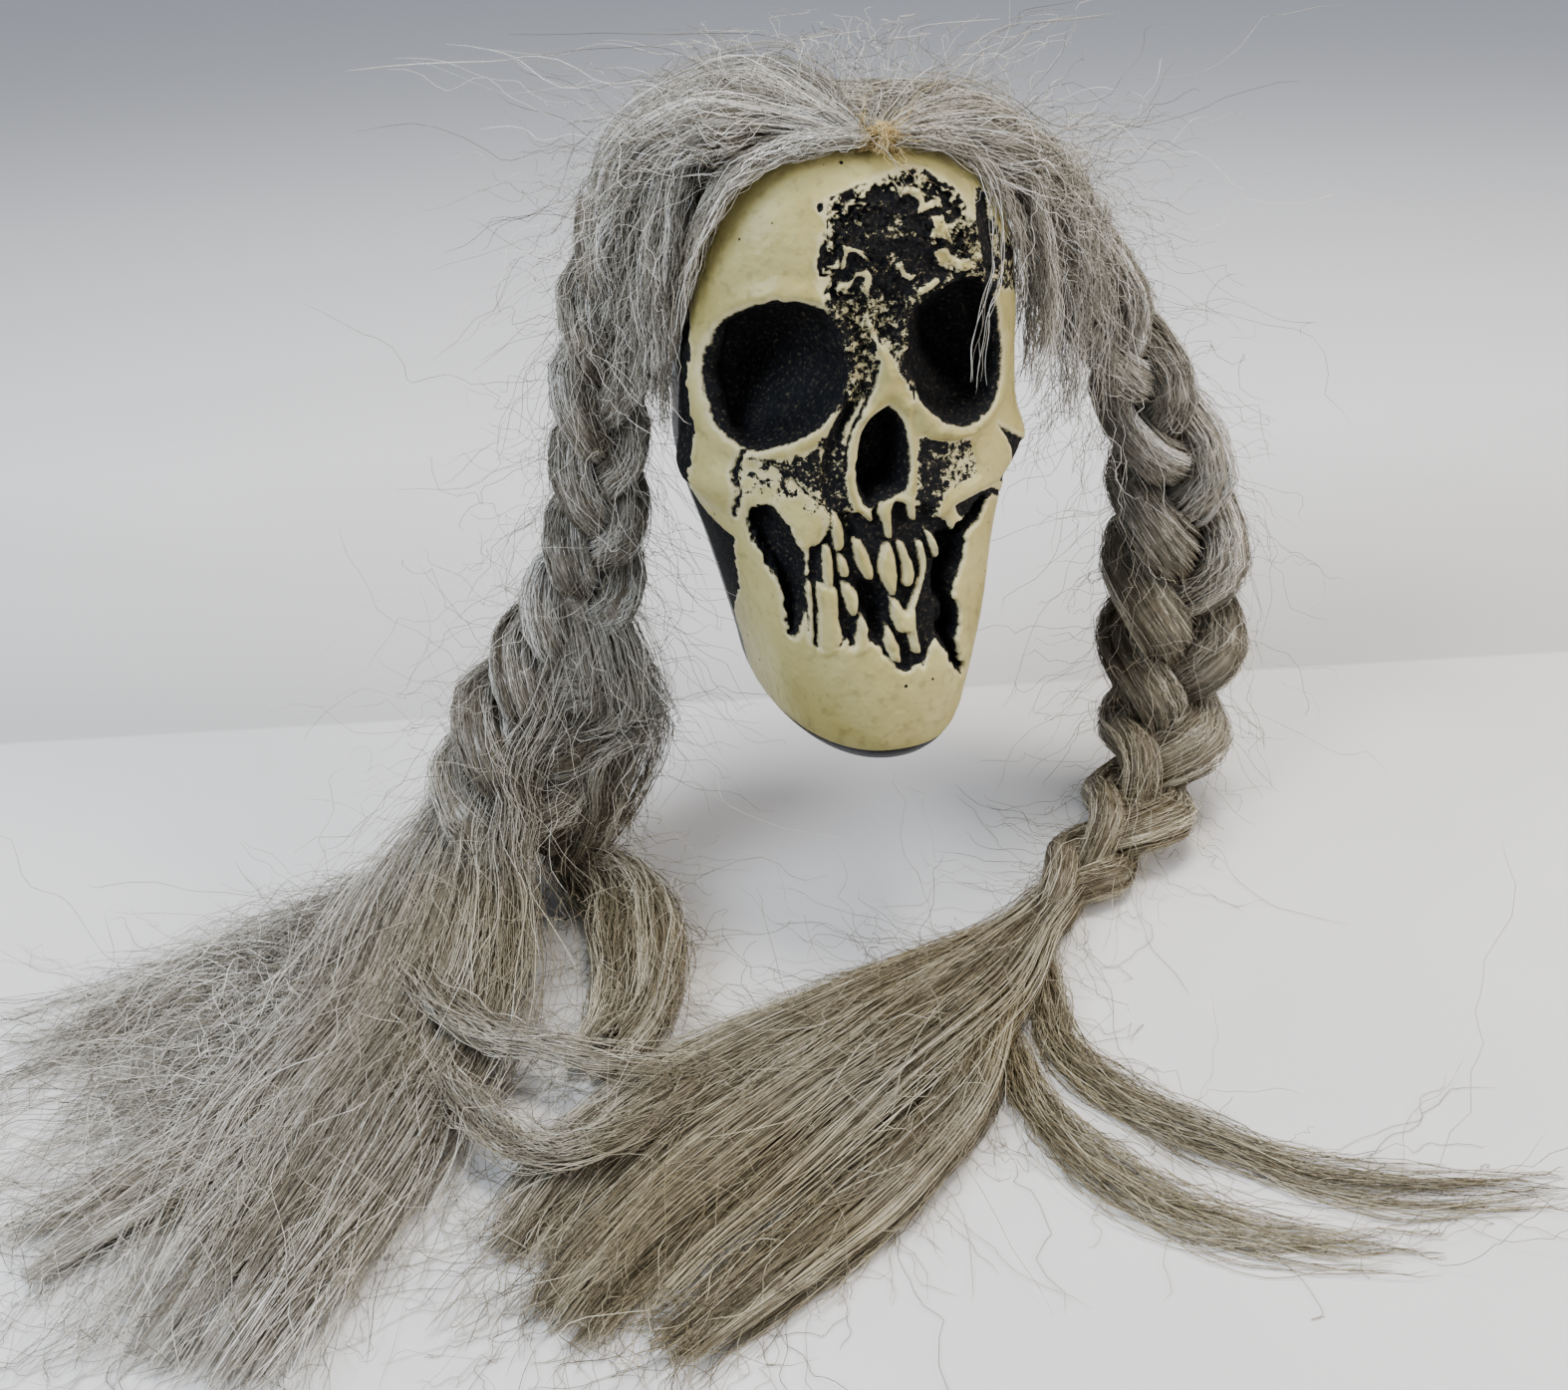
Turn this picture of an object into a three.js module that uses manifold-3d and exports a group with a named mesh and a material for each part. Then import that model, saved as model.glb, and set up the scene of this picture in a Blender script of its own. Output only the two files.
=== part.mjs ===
import * as THREE from 'three';
import { mergeVertices } from 'three/addons/utils/BufferGeometryUtils.js';
import Module from 'manifold-3d';

const wasm = await Module();
wasm.setup();

// A hollow skull cast in two shells, with a hank of long synthetic hair fixed across its crown.
// Millimetres, +Z up, -Y is the face. The origin is the centre of the neck opening in the flat base.

// Head
const headHeight = 176;
const headWidth = 104;
const frontReach = 76;
const rearReach = 50;
const axisSetback = 10;
const wall = 3;
const neckBore = 36;
const seamSetback = 14;
const baseLipHeight = 5;

// Face
const socketWidth = 37;
const socketHeight = 42;
const socketSpacing = 52;
const socketDepth = 18;
const browRise = 2.6;
const noseWidth = 15;
const noseHeight = 31;
const noseDepth = 12;
const noseBoneRise = 6;
const noseBoneWidth = 10;
const noseRimRise = 1.6;
const cheekRise = 3;
const cheekSize = 20;
const archRise = 2.6;
const hollowWidth = 9;
const hollowHeight = 36;
const hollowDepth = 9;
const toothPitch = 6.4;
const toothRise = 1.7;
const teethWidth = 40;
const teethHeight = 40;
const mouthDepth = 3.5;
const mouthWidth = 16;
const mouthHeight = 7;
const templeDepth = 3;
const templeSize = 30;

// Where the features of the face sit, as shares of the head's height or width
const socketLevelShare = 0.643;
const noseLevelShare = 0.515;
const noseBoneLevelShare = 0.645;
const cheekSpreadShare = 0.44;
const cheekLevelShare = 0.465;
const archLevelShare = 0.455;
const hollowSpreadShare = 0.2;
const hollowLeanShare = 0.23;
const hollowLevelShare = 0.29;
const teethLevelShare = 0.295;
const mouthLevelShare = 0.275;
const templeLevelShare = 0.73;

// Hair
const standHeight = 74;
const strandDiameter = 10.4;
const crownWidth = 62;
const crownThickness = 23;
const templeLockWidth = 13;
const templeLockThickness = 8;
const curlWidth = 27;
const curlThickness = 24;
const tailWidth = 40;
const tailThickness = 15;
const wispWidth = 6;
const wispThickness = 4;
const knotLength = 16;
const knotDiameter = 7;
const glueWidth = 8;
const glueThickness = 2.4;

// Fits and fineness
const gap = 0.3;
const overrun = 20;
const faceColumns = 52;
const backColumns = 12;
const headRows = 42;
const insideFaceColumns = 24;
const insideBackColumns = 8;
const insideRows = 24;
const neckSides = 32;
const strandSides = 7;
const stepsEachTurn = 14;
const lockSides = 10;
const crownSteps = 10;
const templeSteps = 7;
const tailSteps = 11;
const glueSteps = 6;
const bedShare = 0.8;
const middleShare = 0.4;
const insideReach = 2 * wall;
const crownTilt = 0.3;

const headDepth = frontReach + rearReach;
const halfWidth = headWidth / 2;
const tableLevel = -standHeight;

// Rows from the base to the crown: height, half width, front and rear as shares of the head's
// sizes, and how square the row's outline is
const headRowShares = [
  [0, 0.51, 0.92, 0.5, 2.2],
  [0.023, 0.565, 0.97, 0.54, 2.3],
  [0.057, 0.605, 0.995, 0.58, 2.4],
  [0.102, 0.635, 1, 0.62, 2.5],
  [0.16, 0.68, 0.99, 0.68, 2.6],
  [0.227, 0.735, 0.955, 0.76, 2.7],
  [0.307, 0.805, 0.905, 0.84, 2.7],
  [0.386, 0.885, 0.849, 0.92, 2.7],
  [0.466, 0.94, 0.796, 0.97, 2.7],
  [0.545, 0.93, 0.763, 1, 2.7],
  [0.625, 0.905, 0.743, 1, 2.7],
  [0.705, 0.905, 0.75, 0.98, 2.7],
  [0.778, 0.895, 0.763, 0.93, 2.7],
  [0.847, 0.855, 0.743, 0.84, 2.6],
  [0.903, 0.78, 0.69, 0.71, 2.5],
  [0.949, 0.655, 0.6, 0.54, 2.4],
  [0.98, 0.48, 0.474, 0.32, 2.2],
  [0.996, 0.26, 0.31, 0.06, 2.1],
  [1, 0, 0.13, -0.2, 2],
];

// Hair routes as shares: across the head's width, along its depth, up its height or down the drop
const leftBraidTurns = 3;
const leftBraidShares = [
  [-0.548, -0.04, 0.852],
  [-0.62, -0.04, 0.733],
  [-0.66, -0.032, 0.585],
  [-0.688, -0.024, 0.432],
  [-0.72, -0.016, 0.3],
  [-0.808, 0, 0.153],
  [-0.915, -0.01, 0.011],
  [-1, -0.024, -0.243],
  [-1.058, -0.04, -0.51],
  [-1.096, -0.063, -0.66],
];
const leftBraidSizeShares = [0.78, 0.75, 0.74, 0.76, 0.85, 1, 1.2, 1.3, 1.2];
const rightBraidTurns = 3;
const rightBraidShares = [
  [0.702, -0.04, 0.79],
  [0.846, -0.04, 0.636],
  [1.02, -0.032, 0.46],
  [1.144, -0.024, 0.295],
  [1.192, -0.016, 0.125],
  [1.192, -0.024, -0.08],
  [1.163, -0.063, -0.39],
  [1.096, -0.143, -0.61],
  [0.99, -0.246, -0.74],
  [0.846, -0.357, -0.82],
  [0.654, -0.468, -0.87],
  [0.452, -0.587, -0.92],
];
const rightBraidSizeShares = [0.75, 0.75, 0.85, 1.1, 1.3, 1.3, 1.15, 0.95, 0.7, 0.42];
const braidSwingShare = 1.1;
const braidCrossShare = 0.8;
const slantShare = 0.3;

const leftCrownShares = [
  [0, -0.175, 0.968],
  [-0.06, -0.175, 0.968],
  [-0.14, -0.12, 0.992],
  [-0.27, -0.085, 0.998],
  [-0.4, -0.06, 0.972],
];
const rightCrownShares = [
  [0, -0.175, 0.968],
  [0.06, -0.175, 0.968],
  [0.15, -0.13, 0.982],
  [0.3, -0.1, 0.975],
  [0.47, -0.07, 0.94],
  [0.6, -0.05, 0.88],
];
const crownWidthShares = [1, 1, 0.96, 0.88, 0.76, 0.6, 0.42, 0.32];
const crownThicknessShares = [0.5, 0.62, 0.85, 1, 1.05, 1.05, 1, 1];
const leftTempleShares = [
  [-0.42, -0.15, 0.95],
  [-0.47, -0.2, 0.89],
  [-0.5, -0.22, 0.82],
  [-0.53, -0.2, 0.7],
  [-0.535, -0.19, 0.6],
  [-0.54, -0.19, 0.51],
];
const rightTempleShares = [
  [0.45, -0.24, 0.9],
  [0.51, -0.25, 0.82],
  [0.545, -0.25, 0.7],
  [0.55, -0.24, 0.59],
  [0.53, -0.24, 0.52],
];
const templeWidthShares = [1, 1, 0.9, 0.75, 0.4];
const templeThicknessShares = [1, 1, 0.85, 0.7, 0.4];
const glueShares = [
  [0, -0.31, 0.951],
  [0, -0.22, 0.982],
  [0, -0.1, 0.998],
  [0, 0.02, 0.997],
];
const knotShares = [
  [-0.375, 0.938],
  [-0.365, 0.955],
  [-0.375, 0.938],
];
const knotSizeShares = [0.3, 0.9, 1, 0.9, 0.3];

// Locks on the table: across and back as shares of the head's sizes, then any lift as a share of
// the drop; widths and thicknesses are shares of the lock's own
const leftLocks = {
  tail_main: {
    routeShares: [
      [-1.1, -0.05, 0.14],
      [-1.2, -0.12, 0.04],
      [-1.33, -0.34],
      [-1.47, -0.64],
      [-1.66, -0.92],
      [-1.87, -1.18],
      [-2.03, -1.38],
    ],
    width: tailWidth,
    thickness: tailThickness,
    widthShares: [0.6, 0.9, 1.1, 1.15, 1.15, 1.15, 1],
    thicknessShares: [1.4, 1.3, 1.1, 1, 0.85, 0.7, 0.5],
  },
  curl_lock: {
    routeShares: [
      [-0.93, -0.02, 0.1],
      [-0.77, -0.2, 0.02],
      [-0.76, -0.45],
      [-0.85, -0.68],
      [-1, -0.79],
    ],
    width: curlWidth,
    thickness: curlThickness,
    widthShares: [0.5, 0.9, 1, 0.9, 0.5],
    thicknessShares: [0.7, 1, 1, 0.8, 0.4],
  },
  tail_side: {
    routeShares: [
      [-1.44, -0.24],
      [-1.65, -0.46],
      [-1.83, -0.65],
      [-2.02, -0.8],
      [-2.23, -0.9],
      [-2.44, -1],
    ],
    width: tailWidth,
    thickness: tailThickness,
    widthShares: [0.7, 0.8, 0.85, 0.8, 0.75, 0.6],
    thicknessShares: [0.6, 0.75, 0.75, 0.7, 0.55, 0.4],
  },
  tail_fan: {
    routeShares: [
      [-1.17, 0.07, 0.08],
      [-1.44, -0.02],
      [-1.78, -0.15],
      [-2.16, -0.29],
      [-2.52, -0.42],
    ],
    width: tailWidth,
    thickness: tailThickness,
    widthShares: [0.6, 0.95, 1.25, 1.55, 1.7],
    thicknessShares: [0.9, 0.8, 0.6, 0.4, 0.25],
  },
};
const leftArcs = {
  arc_upper: {
    routeShares: [
      [-1.5, -0.09, 0.2],
      [-1.43, -0.4, 0.2],
      [-1.28, -0.67, 0.2],
      [-1.06, -0.8, 0.2],
      [-0.82, -0.91, 0.19],
      [-0.65, -0.9, 0.17],
    ],
    width: wispWidth,
    thickness: wispThickness,
    widthShares: [0.5, 1, 1.2, 1.2, 1, 0.5],
    thicknessShares: [0.5, 1, 1, 1, 1, 0.5],
  },
  arc_lower: {
    routeShares: [
      [-1.41, -0.66, 0.13],
      [-1.31, -0.91, 0.16],
      [-1.15, -1.08, 0.17],
      [-0.95, -1.1, 0.2],
      [-0.71, -0.97, 0.2],
    ],
    width: wispWidth,
    thickness: wispThickness,
    widthShares: [0.5, 1, 1.2, 1, 0.5],
    thicknessShares: [0.5, 1, 1, 1, 0.5],
  },
};
const rightLocks = {
  tail_upper: {
    routeShares: [
      [0.435, -0.6],
      [0.14, -0.68],
      [-0.2, -0.77],
      [-0.58, -0.87],
      [-0.89, -0.99],
      [-1.12, -1.13],
      [-1.27, -1.27],
    ],
    width: tailWidth,
    thickness: tailThickness,
    widthShares: [0.3, 0.48, 0.62, 0.72, 0.78, 0.76, 0.65],
    thicknessShares: [0.7, 0.85, 0.95, 0.9, 0.8, 0.65, 0.45],
  },
  tail_middle: {
    routeShares: [
      [0.36, -0.68],
      [0.03, -0.85],
      [-0.38, -1.02],
      [-0.75, -1.19],
      [-1.03, -1.34],
      [-1.2, -1.47],
    ],
    width: tailWidth,
    thickness: tailThickness,
    widthShares: [0.35, 0.55, 0.7, 0.74, 0.72, 0.6],
    thicknessShares: [0.6, 0.85, 0.9, 0.8, 0.65, 0.45],
  },
  tail_lower: {
    routeShares: [
      [0.31, -0.72],
      [0.17, -0.88],
      [-0.05, -1.13],
      [-0.35, -1.32],
      [-0.67, -1.46],
      [-0.97, -1.58],
    ],
    width: tailWidth,
    thickness: tailThickness,
    widthShares: [0.25, 0.36, 0.48, 0.55, 0.55, 0.48],
    thicknessShares: [0.5, 0.7, 0.8, 0.75, 0.6, 0.4],
  },
  wisp_upper: {
    routeShares: [
      [0.43, -0.66],
      [0.36, -0.83],
      [0.31, -1.02],
      [0.42, -1.25],
      [0.65, -1.47],
      [0.94, -1.6],
      [1.3, -1.69],
    ],
    width: wispWidth,
    thickness: wispThickness,
    widthShares: [1, 1.2, 1.4, 1.4, 1.2, 1, 0.5],
    thicknessShares: [1, 1, 1, 1, 0.9, 0.7, 0.5],
  },
  wisp_lower: {
    routeShares: [
      [0.18, -0.92],
      [0.15, -1.2],
      [0.29, -1.47],
      [0.51, -1.63],
      [0.89, -1.76],
    ],
    width: wispWidth,
    thickness: wispThickness,
    widthShares: [1, 1.4, 1.4, 1.1, 0.5],
    thicknessShares: [1, 1, 0.9, 0.7, 0.5],
  },
};

const hump = (value, centre, spread) => Math.exp(-(((value - centre) / spread) ** 2));

function ramp(value, from, to) {
  const share = THREE.MathUtils.clamp((value - from) / (to - from), 0, 1);
  return share * share * (3 - 2 * share);
}

function blendRow(rows, place) {
  const at = THREE.MathUtils.clamp(place, 0, 1) * (rows.length - 1);
  const first = Math.min(Math.floor(at), rows.length - 2);
  const t = at - first;
  const row = (index) => rows[THREE.MathUtils.clamp(index, 0, rows.length - 1)];
  return rows[0].map((_, column) => {
    const [a, b, c, d] = [-1, 0, 1, 2].map((step) => row(first + step)[column]);
    const bend = (2 * a - 5 * b + 4 * c - d) * t * t + (3 * (b - c) + d - a) * t ** 3;
    return b + ((c - a) * t + bend) / 2;
  });
}

// How far the face is sunk at a place seen from the front: hollows go straight back, and what is
// raised stands out from the head's axis
function faceRelief(x, z) {
  const side = Math.abs(x);
  const level = z / headHeight;
  const part = side / halfWidth;

  const socketAcross = (side - socketSpacing / 2) / (socketWidth / 2);
  const socketUp = (z - headHeight * socketLevelShare) / (socketHeight / 2);
  const socket = (Math.abs(socketAcross) ** 2.4 + Math.abs(socketUp) ** 2.4) ** (1 / 2.4);
  let depth = socketDepth * ramp(socket, 1.02, 0.5);
  depth -= browRise * hump(socket, 1.2, 0.2) * ramp(socketUp, -1.6, 0.6);

  const noseUp = (z - headHeight * noseLevelShare) / (noseHeight / 2);
  const noseFlare = 1 - 0.45 * THREE.MathUtils.clamp(noseUp, -1, 1);
  const nose = Math.hypot(side / ((noseWidth / 2) * noseFlare), noseUp);
  depth += noseDepth * ramp(nose, 1.02, 0.55);
  depth -= noseRimRise * hump(nose, 1.3, 0.3);
  depth -= noseBoneRise * hump(side / noseBoneWidth, 0, 0.55) * hump(level, noseBoneLevelShare, 0.05);

  const cheek = Math.hypot(side - headWidth * cheekSpreadShare, z - headHeight * cheekLevelShare);
  depth -= cheekRise * hump(cheek / cheekSize, 0, 0.5);
  depth -= archRise * hump(level, archLevelShare + 0.03 * part, 0.045) * ramp(part, 0.4, 0.65);

  const lean = side - headWidth * (hollowSpreadShare + hollowLeanShare * level);
  const hollowUp = (z - headHeight * hollowLevelShare) / (hollowHeight / 2);
  const hollow = Math.hypot(lean / (hollowWidth / 2), hollowUp);
  depth += hollowDepth * ramp(hollow, 1.1, 0.3);

  const teethUp = (z - headHeight * teethLevelShare) / (teethHeight / 2);
  const inTeeth = ramp(side / (teethWidth / 2), 1.05, 0.8) * ramp(Math.abs(teethUp), 1.1, 0.75);
  depth -= toothRise * inTeeth * (0.5 + 0.9 * Math.cos(2 * Math.PI * (x / toothPitch)));
  const mouthUp = (z - headHeight * mouthLevelShare) / (mouthHeight / 2);
  depth += mouthDepth * ramp(Math.hypot(side / (mouthWidth / 2), mouthUp), 1.2, 0.4);

  const temple = Math.hypot(side - halfWidth, z - headHeight * templeLevelShare);
  depth += templeDepth * hump(temple / templeSize, 0, 0.6);
  return depth;
}

// The deepest relief around a place, which keeps the wall behind every hollow
function relievedInside(x, z) {
  const steps = [-1, -0.5, 0, 0.5, 1].map((share) => share * insideReach);
  return Math.max(...steps.flatMap((dx) => steps.map((dz) => faceRelief(x + dx, z + dz))));
}

const raisedOnly = (x, z) => Math.min(faceRelief(x, z), 0);

// One point of the head; the turn is 0 at the middle of the face and grows towards +X
function headPoint(turn, place, offset, relief) {
  const [height, width, front, rear, squareness] = blendRow(headRowShares, place);
  const swell = 1 + offset / halfWidth;
  const z = headHeight * (0.5 + (height - 0.5) * (1 + (2 * offset) / headHeight));
  const reach = Math.cos(turn) > 0 ? frontReach * front - axisSetback : rearReach * rear + axisSetback;
  const edge = Math.cos(turn) > 0 ? squareness : 2;
  const spread = (Math.abs(Math.sin(turn)) / Math.max(halfWidth * width, gap)) ** edge
    + (Math.abs(Math.cos(turn)) / Math.max(reach, gap)) ** edge;
  const radius = swell * spread ** (-1 / edge);
  const out = new THREE.Vector3(Math.sin(turn), -Math.cos(turn), 0);
  const point = new THREE.Vector3(0, -axisSetback, z).addScaledVector(out, radius);
  if (Math.cos(turn) > 0) {
    const depth = relief(point.x, z) * ramp(Math.cos(turn), 0.05, 0.35) * ramp(place, 1, 0.9);
    point.addScaledVector(out, -Math.min(depth, 0));
    point.y += Math.max(depth, 0);
  }
  return point;
}

// A closed geometry whose faces point out, whichever way the points were laid
function closedGeometry(points, triangles) {
  let volume = 0;
  for (const [a, b, c] of triangles) {
    volume += points[a].dot(points[b].clone().cross(points[c]));
  }
  const outward = triangles.map(([a, b, c]) => (volume > 0 ? [a, b, c] : [a, c, b]));
  const geometry = new THREE.BufferGeometry().setFromPoints(points);
  geometry.setIndex(outward.flat());
  return geometry;
}

// Skins a row of rings, with a point at the middle of each end
function loft(rings) {
  const count = rings[0].length;
  const middle = (ring) => ring.reduce((sum, p) => sum.add(p), new THREE.Vector3()).divideScalar(count);
  const points = [...rings.flat(), middle(rings[0]), middle(rings[rings.length - 1])];
  const triangles = [];
  for (let i = 0; i < count; i += 1) {
    const next = (i + 1) % count;
    for (let j = 0; j < rings.length - 1; j += 1) {
      const low = j * count;
      const high = low + count;
      triangles.push([low + i, low + next, high + next], [low + i, high + next, high + i]);
    }
    const last = (rings.length - 1) * count;
    triangles.push([points.length - 2, next, i], [points.length - 1, last + i, last + next]);
  }
  return closedGeometry(points, triangles);
}

// The columns lie closest together at the middle of the face
function headForm(front, back, rows, offset, relief) {
  const turns = [];
  for (let i = 0; i < front; i += 1) {
    const u = (2 * i) / front - 1;
    turns.push((Math.PI / 2) * u * (1 - middleShare * (1 - u * u)));
  }
  for (let i = 0; i < back; i += 1) {
    turns.push(Math.PI * (i / back + 0.5));
  }
  const rings = [];
  for (let j = 0; j < rows; j += 1) {
    rings.push(turns.map((turn) => headPoint(turn, j / rows, offset, relief)));
  }
  return loft(rings);
}

function solidOf(geometry) {
  const bare = geometry.clone();
  bare.deleteAttribute('normal');
  bare.deleteAttribute('uv');
  const merged = mergeVertices(bare);
  return new wasm.Manifold(new wasm.Mesh({
    numProp: 3,
    vertProperties: new Float32Array(merged.attributes.position.array),
    triVerts: new Uint32Array(merged.index.array),
  }));
}

function geometryOf(solid) {
  const mesh = solid.getMesh();
  const geometry = new THREE.BufferGeometry();
  geometry.setAttribute('position', new THREE.BufferAttribute(mesh.vertProperties, 3));
  geometry.setIndex(new THREE.BufferAttribute(mesh.triVerts, 1));
  return geometry;
}

const part = new THREE.Group();

function addPiece(name, solid, material) {
  const mesh = new THREE.Mesh(geometryOf(solid), material);
  mesh.name = name;
  part.add(mesh);
}

function finish(color, roughness) {
  return new THREE.MeshStandardMaterial({ color, roughness, metalness: 0 });
}

// The shells meet at an upright seam behind the face and along a lip under the chin
function faceBlock(inset) {
  const outline = new THREE.Shape([
    new THREE.Vector2(-seamSetback - inset, baseLipHeight + inset),
    new THREE.Vector2(-seamSetback - inset, headHeight + overrun),
    new THREE.Vector2(-frontReach - overrun, headHeight + overrun),
    new THREE.Vector2(-frontReach - overrun, baseLipHeight + inset),
  ]);
  const block = new THREE.ExtrudeGeometry(outline, { depth: headWidth + 2 * overrun, bevelEnabled: false });
  block.applyMatrix4(new THREE.Matrix4().makeBasis(
    new THREE.Vector3(0, 1, 0),
    new THREE.Vector3(0, 0, 1),
    new THREE.Vector3(1, 0, 0),
  ));
  block.translate(-halfWidth - overrun, 0, 0);
  return solidOf(block);
}

function neckCutter() {
  const cutter = new THREE.CylinderGeometry(neckBore / 2, neckBore / 2, wall + 2 * overrun, neckSides);
  cutter.rotateX(Math.PI / 2);
  return solidOf(cutter);
}

function addShells() {
  const outside = solidOf(headForm(faceColumns, backColumns, headRows, 0, faceRelief));
  const inside = solidOf(headForm(insideFaceColumns, insideBackColumns, insideRows, -wall, relievedInside));
  const shell = outside.subtract(inside).subtract(neckCutter());
  addPiece('face_shell', shell.intersect(faceBlock(gap)), finish('#cdbf8a', 0.42));
  addPiece('rear_shell', shell.subtract(faceBlock(0)), finish('#17181b', 0.45));
}

// Hair places are shares of the head's width, of its depth, and of its height above the base or of
// the drop from the base to the table
function spot([across, back, up]) {
  return new THREE.Vector3(across * headWidth, back * headDepth, up * (up > 0 ? headHeight : standHeight));
}

function amount(shares, place) {
  const at = THREE.MathUtils.clamp(place, 0, 1) * (shares.length - 1);
  const first = Math.min(Math.floor(at), shares.length - 2);
  return THREE.MathUtils.lerp(shares[first], shares[first + 1], at - first);
}

// Frames along a route: a hanging lock keeps its side, a lying one turns it level with the table
function routeFrames(points, steps, firstSide) {
  const curve = new THREE.CatmullRomCurve3(points, false, 'centripetal');
  const side = new THREE.Vector3();
  if (firstSide) {
    side.copy(firstSide);
  }
  return Array.from({ length: steps + 1 }, (_, step) => {
    const along = curve.getTangentAt(step / steps);
    if (firstSide) {
      side.addScaledVector(along, -side.dot(along)).normalize();
    } else {
      side.crossVectors(along, new THREE.Vector3(0, 0, 1)).normalize();
    }
    const up = new THREE.Vector3().crossVectors(side, along);
    return { at: curve.getPointAt(step / steps), along, side: side.clone(), up };
  });
}

function ringAt(frame, centre, reach, rise, sides, lowest) {
  return Array.from({ length: sides }, (_, index) => {
    const angle = (2 * Math.PI * index) / sides;
    const point = centre.clone()
      .addScaledVector(frame.side, reach * Math.cos(angle))
      .addScaledVector(frame.up, rise * Math.sin(angle));
    point.z = Math.max(point.z, lowest);
    return point;
  });
}

// A lock of hair as one closed form; spare makes it larger all round, to cut its neighbours
function lockForm(lock, spare) {
  const frames = routeFrames(lock.points, lock.steps, lock.firstSide);
  frames[0].at.addScaledVector(frames[0].along, -spare);
  frames[lock.steps].at.addScaledVector(frames[lock.steps].along, spare);
  return solidOf(loft(frames.map((frame, step) => {
    const place = step / lock.steps;
    const reach = (lock.width / 2) * amount(lock.widthShares, place) + spare;
    const rise = (lock.thickness / 2) * amount(lock.thicknessShares, place) + spare;
    return ringAt(frame, frame.at, reach, rise, lockSides, tableLevel - spare);
  })));
}

// Where a lock lies on the table, its route gives only how far it is lifted off it
function lyingPoints(routeShares, thickness, thicknessShares) {
  return routeShares.map(([across, back, lift = 0], index) => {
    const point = spot([across, back, 0]);
    const half = (thickness / 2) * amount(thicknessShares, index / (routeShares.length - 1));
    point.z = tableLevel + half * bedShare + lift * standHeight;
    return point;
  });
}

// Trims a lock to clear what it lies against, and keeps the lock without its offcuts
function trim(solid, cutters) {
  const cut = cutters.reduce((rest, cutter) => rest.subtract(cutter), solid);
  return cut.decompose().reduce((largest, body) => (body.volume() > largest.volume() ? body : largest));
}

// Three strands swing across and in front of each other, each a third of a turn behind the last
function strandForm(braid, index, spare) {
  const frames = routeFrames(braid.points, braid.steps, new THREE.Vector3(1, 0, 0));
  return solidOf(loft(frames.map((frame, step) => {
    const place = step / braid.steps;
    const size = strandDiameter * amount(braid.sizeShares, place);
    const phase = 2 * Math.PI * (braid.turns * place + index / 3);
    const centre = frame.at.clone()
      .addScaledVector(frame.side, size * braidSwingShare * Math.sin(phase))
      .addScaledVector(frame.up, size * braidCrossShare * Math.sin(2 * phase));
    const reach = (size / 2) * (1 + slantShare * Math.abs(Math.cos(phase)));
    return ringAt(frame, centre, reach + spare, size / 2 + spare, strandSides, tableLevel - spare);
  })));
}

const braids = {
  left: {
    points: leftBraidShares.map(spot),
    sizeShares: leftBraidSizeShares,
    turns: leftBraidTurns,
    steps: leftBraidTurns * stepsEachTurn,
  },
  right: {
    points: rightBraidShares.map(spot),
    sizeShares: rightBraidSizeShares,
    turns: rightBraidTurns,
    steps: rightBraidTurns * stepsEachTurn,
  },
};

// The crown hair runs from the parting to where the braid of its side starts
function crownLock(side) {
  const braid = braids[side];
  const curve = new THREE.CatmullRomCurve3(braid.points, false, 'centripetal');
  const along = curve.getTangentAt(0);
  const middle = (side === 'left' ? leftCrownShares : rightCrownShares).map(spot);
  const root = braid.points[0];
  return {
    points: [
      ...middle,
      root.clone().addScaledVector(along, -crownThickness / 2),
      root.clone().addScaledVector(along, -gap),
    ],
    width: crownWidth,
    thickness: crownThickness,
    widthShares: crownWidthShares,
    thicknessShares: crownThicknessShares,
    firstSide: new THREE.Vector3(0, -Math.cos(crownTilt), -Math.sin(crownTilt)),
    steps: crownSteps,
  };
}

// Everything past the parting, on the side that a crown lock stays out of
function partingBlock(side) {
  const block = new THREE.BoxGeometry(headWidth, headDepth + 2 * overrun, headHeight);
  const reach = (headWidth - gap) / 2;
  block.translate(side === 'left' ? reach : -reach, 0, headHeight);
  return solidOf(block);
}

function templeLock(side) {
  const shares = side === 'left' ? leftTempleShares : rightTempleShares;
  return {
    points: shares.map(spot),
    width: templeLockWidth,
    thickness: templeLockThickness,
    widthShares: templeWidthShares,
    thicknessShares: templeThicknessShares,
    firstSide: new THREE.Vector3(0, 1, 0),
    steps: templeSteps,
  };
}

function lyingLock({ routeShares, width, thickness, widthShares, thicknessShares }) {
  const points = lyingPoints(routeShares, thickness, thicknessShares);
  return { points, width, thickness, widthShares, thicknessShares, steps: tailSteps };
}

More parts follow.
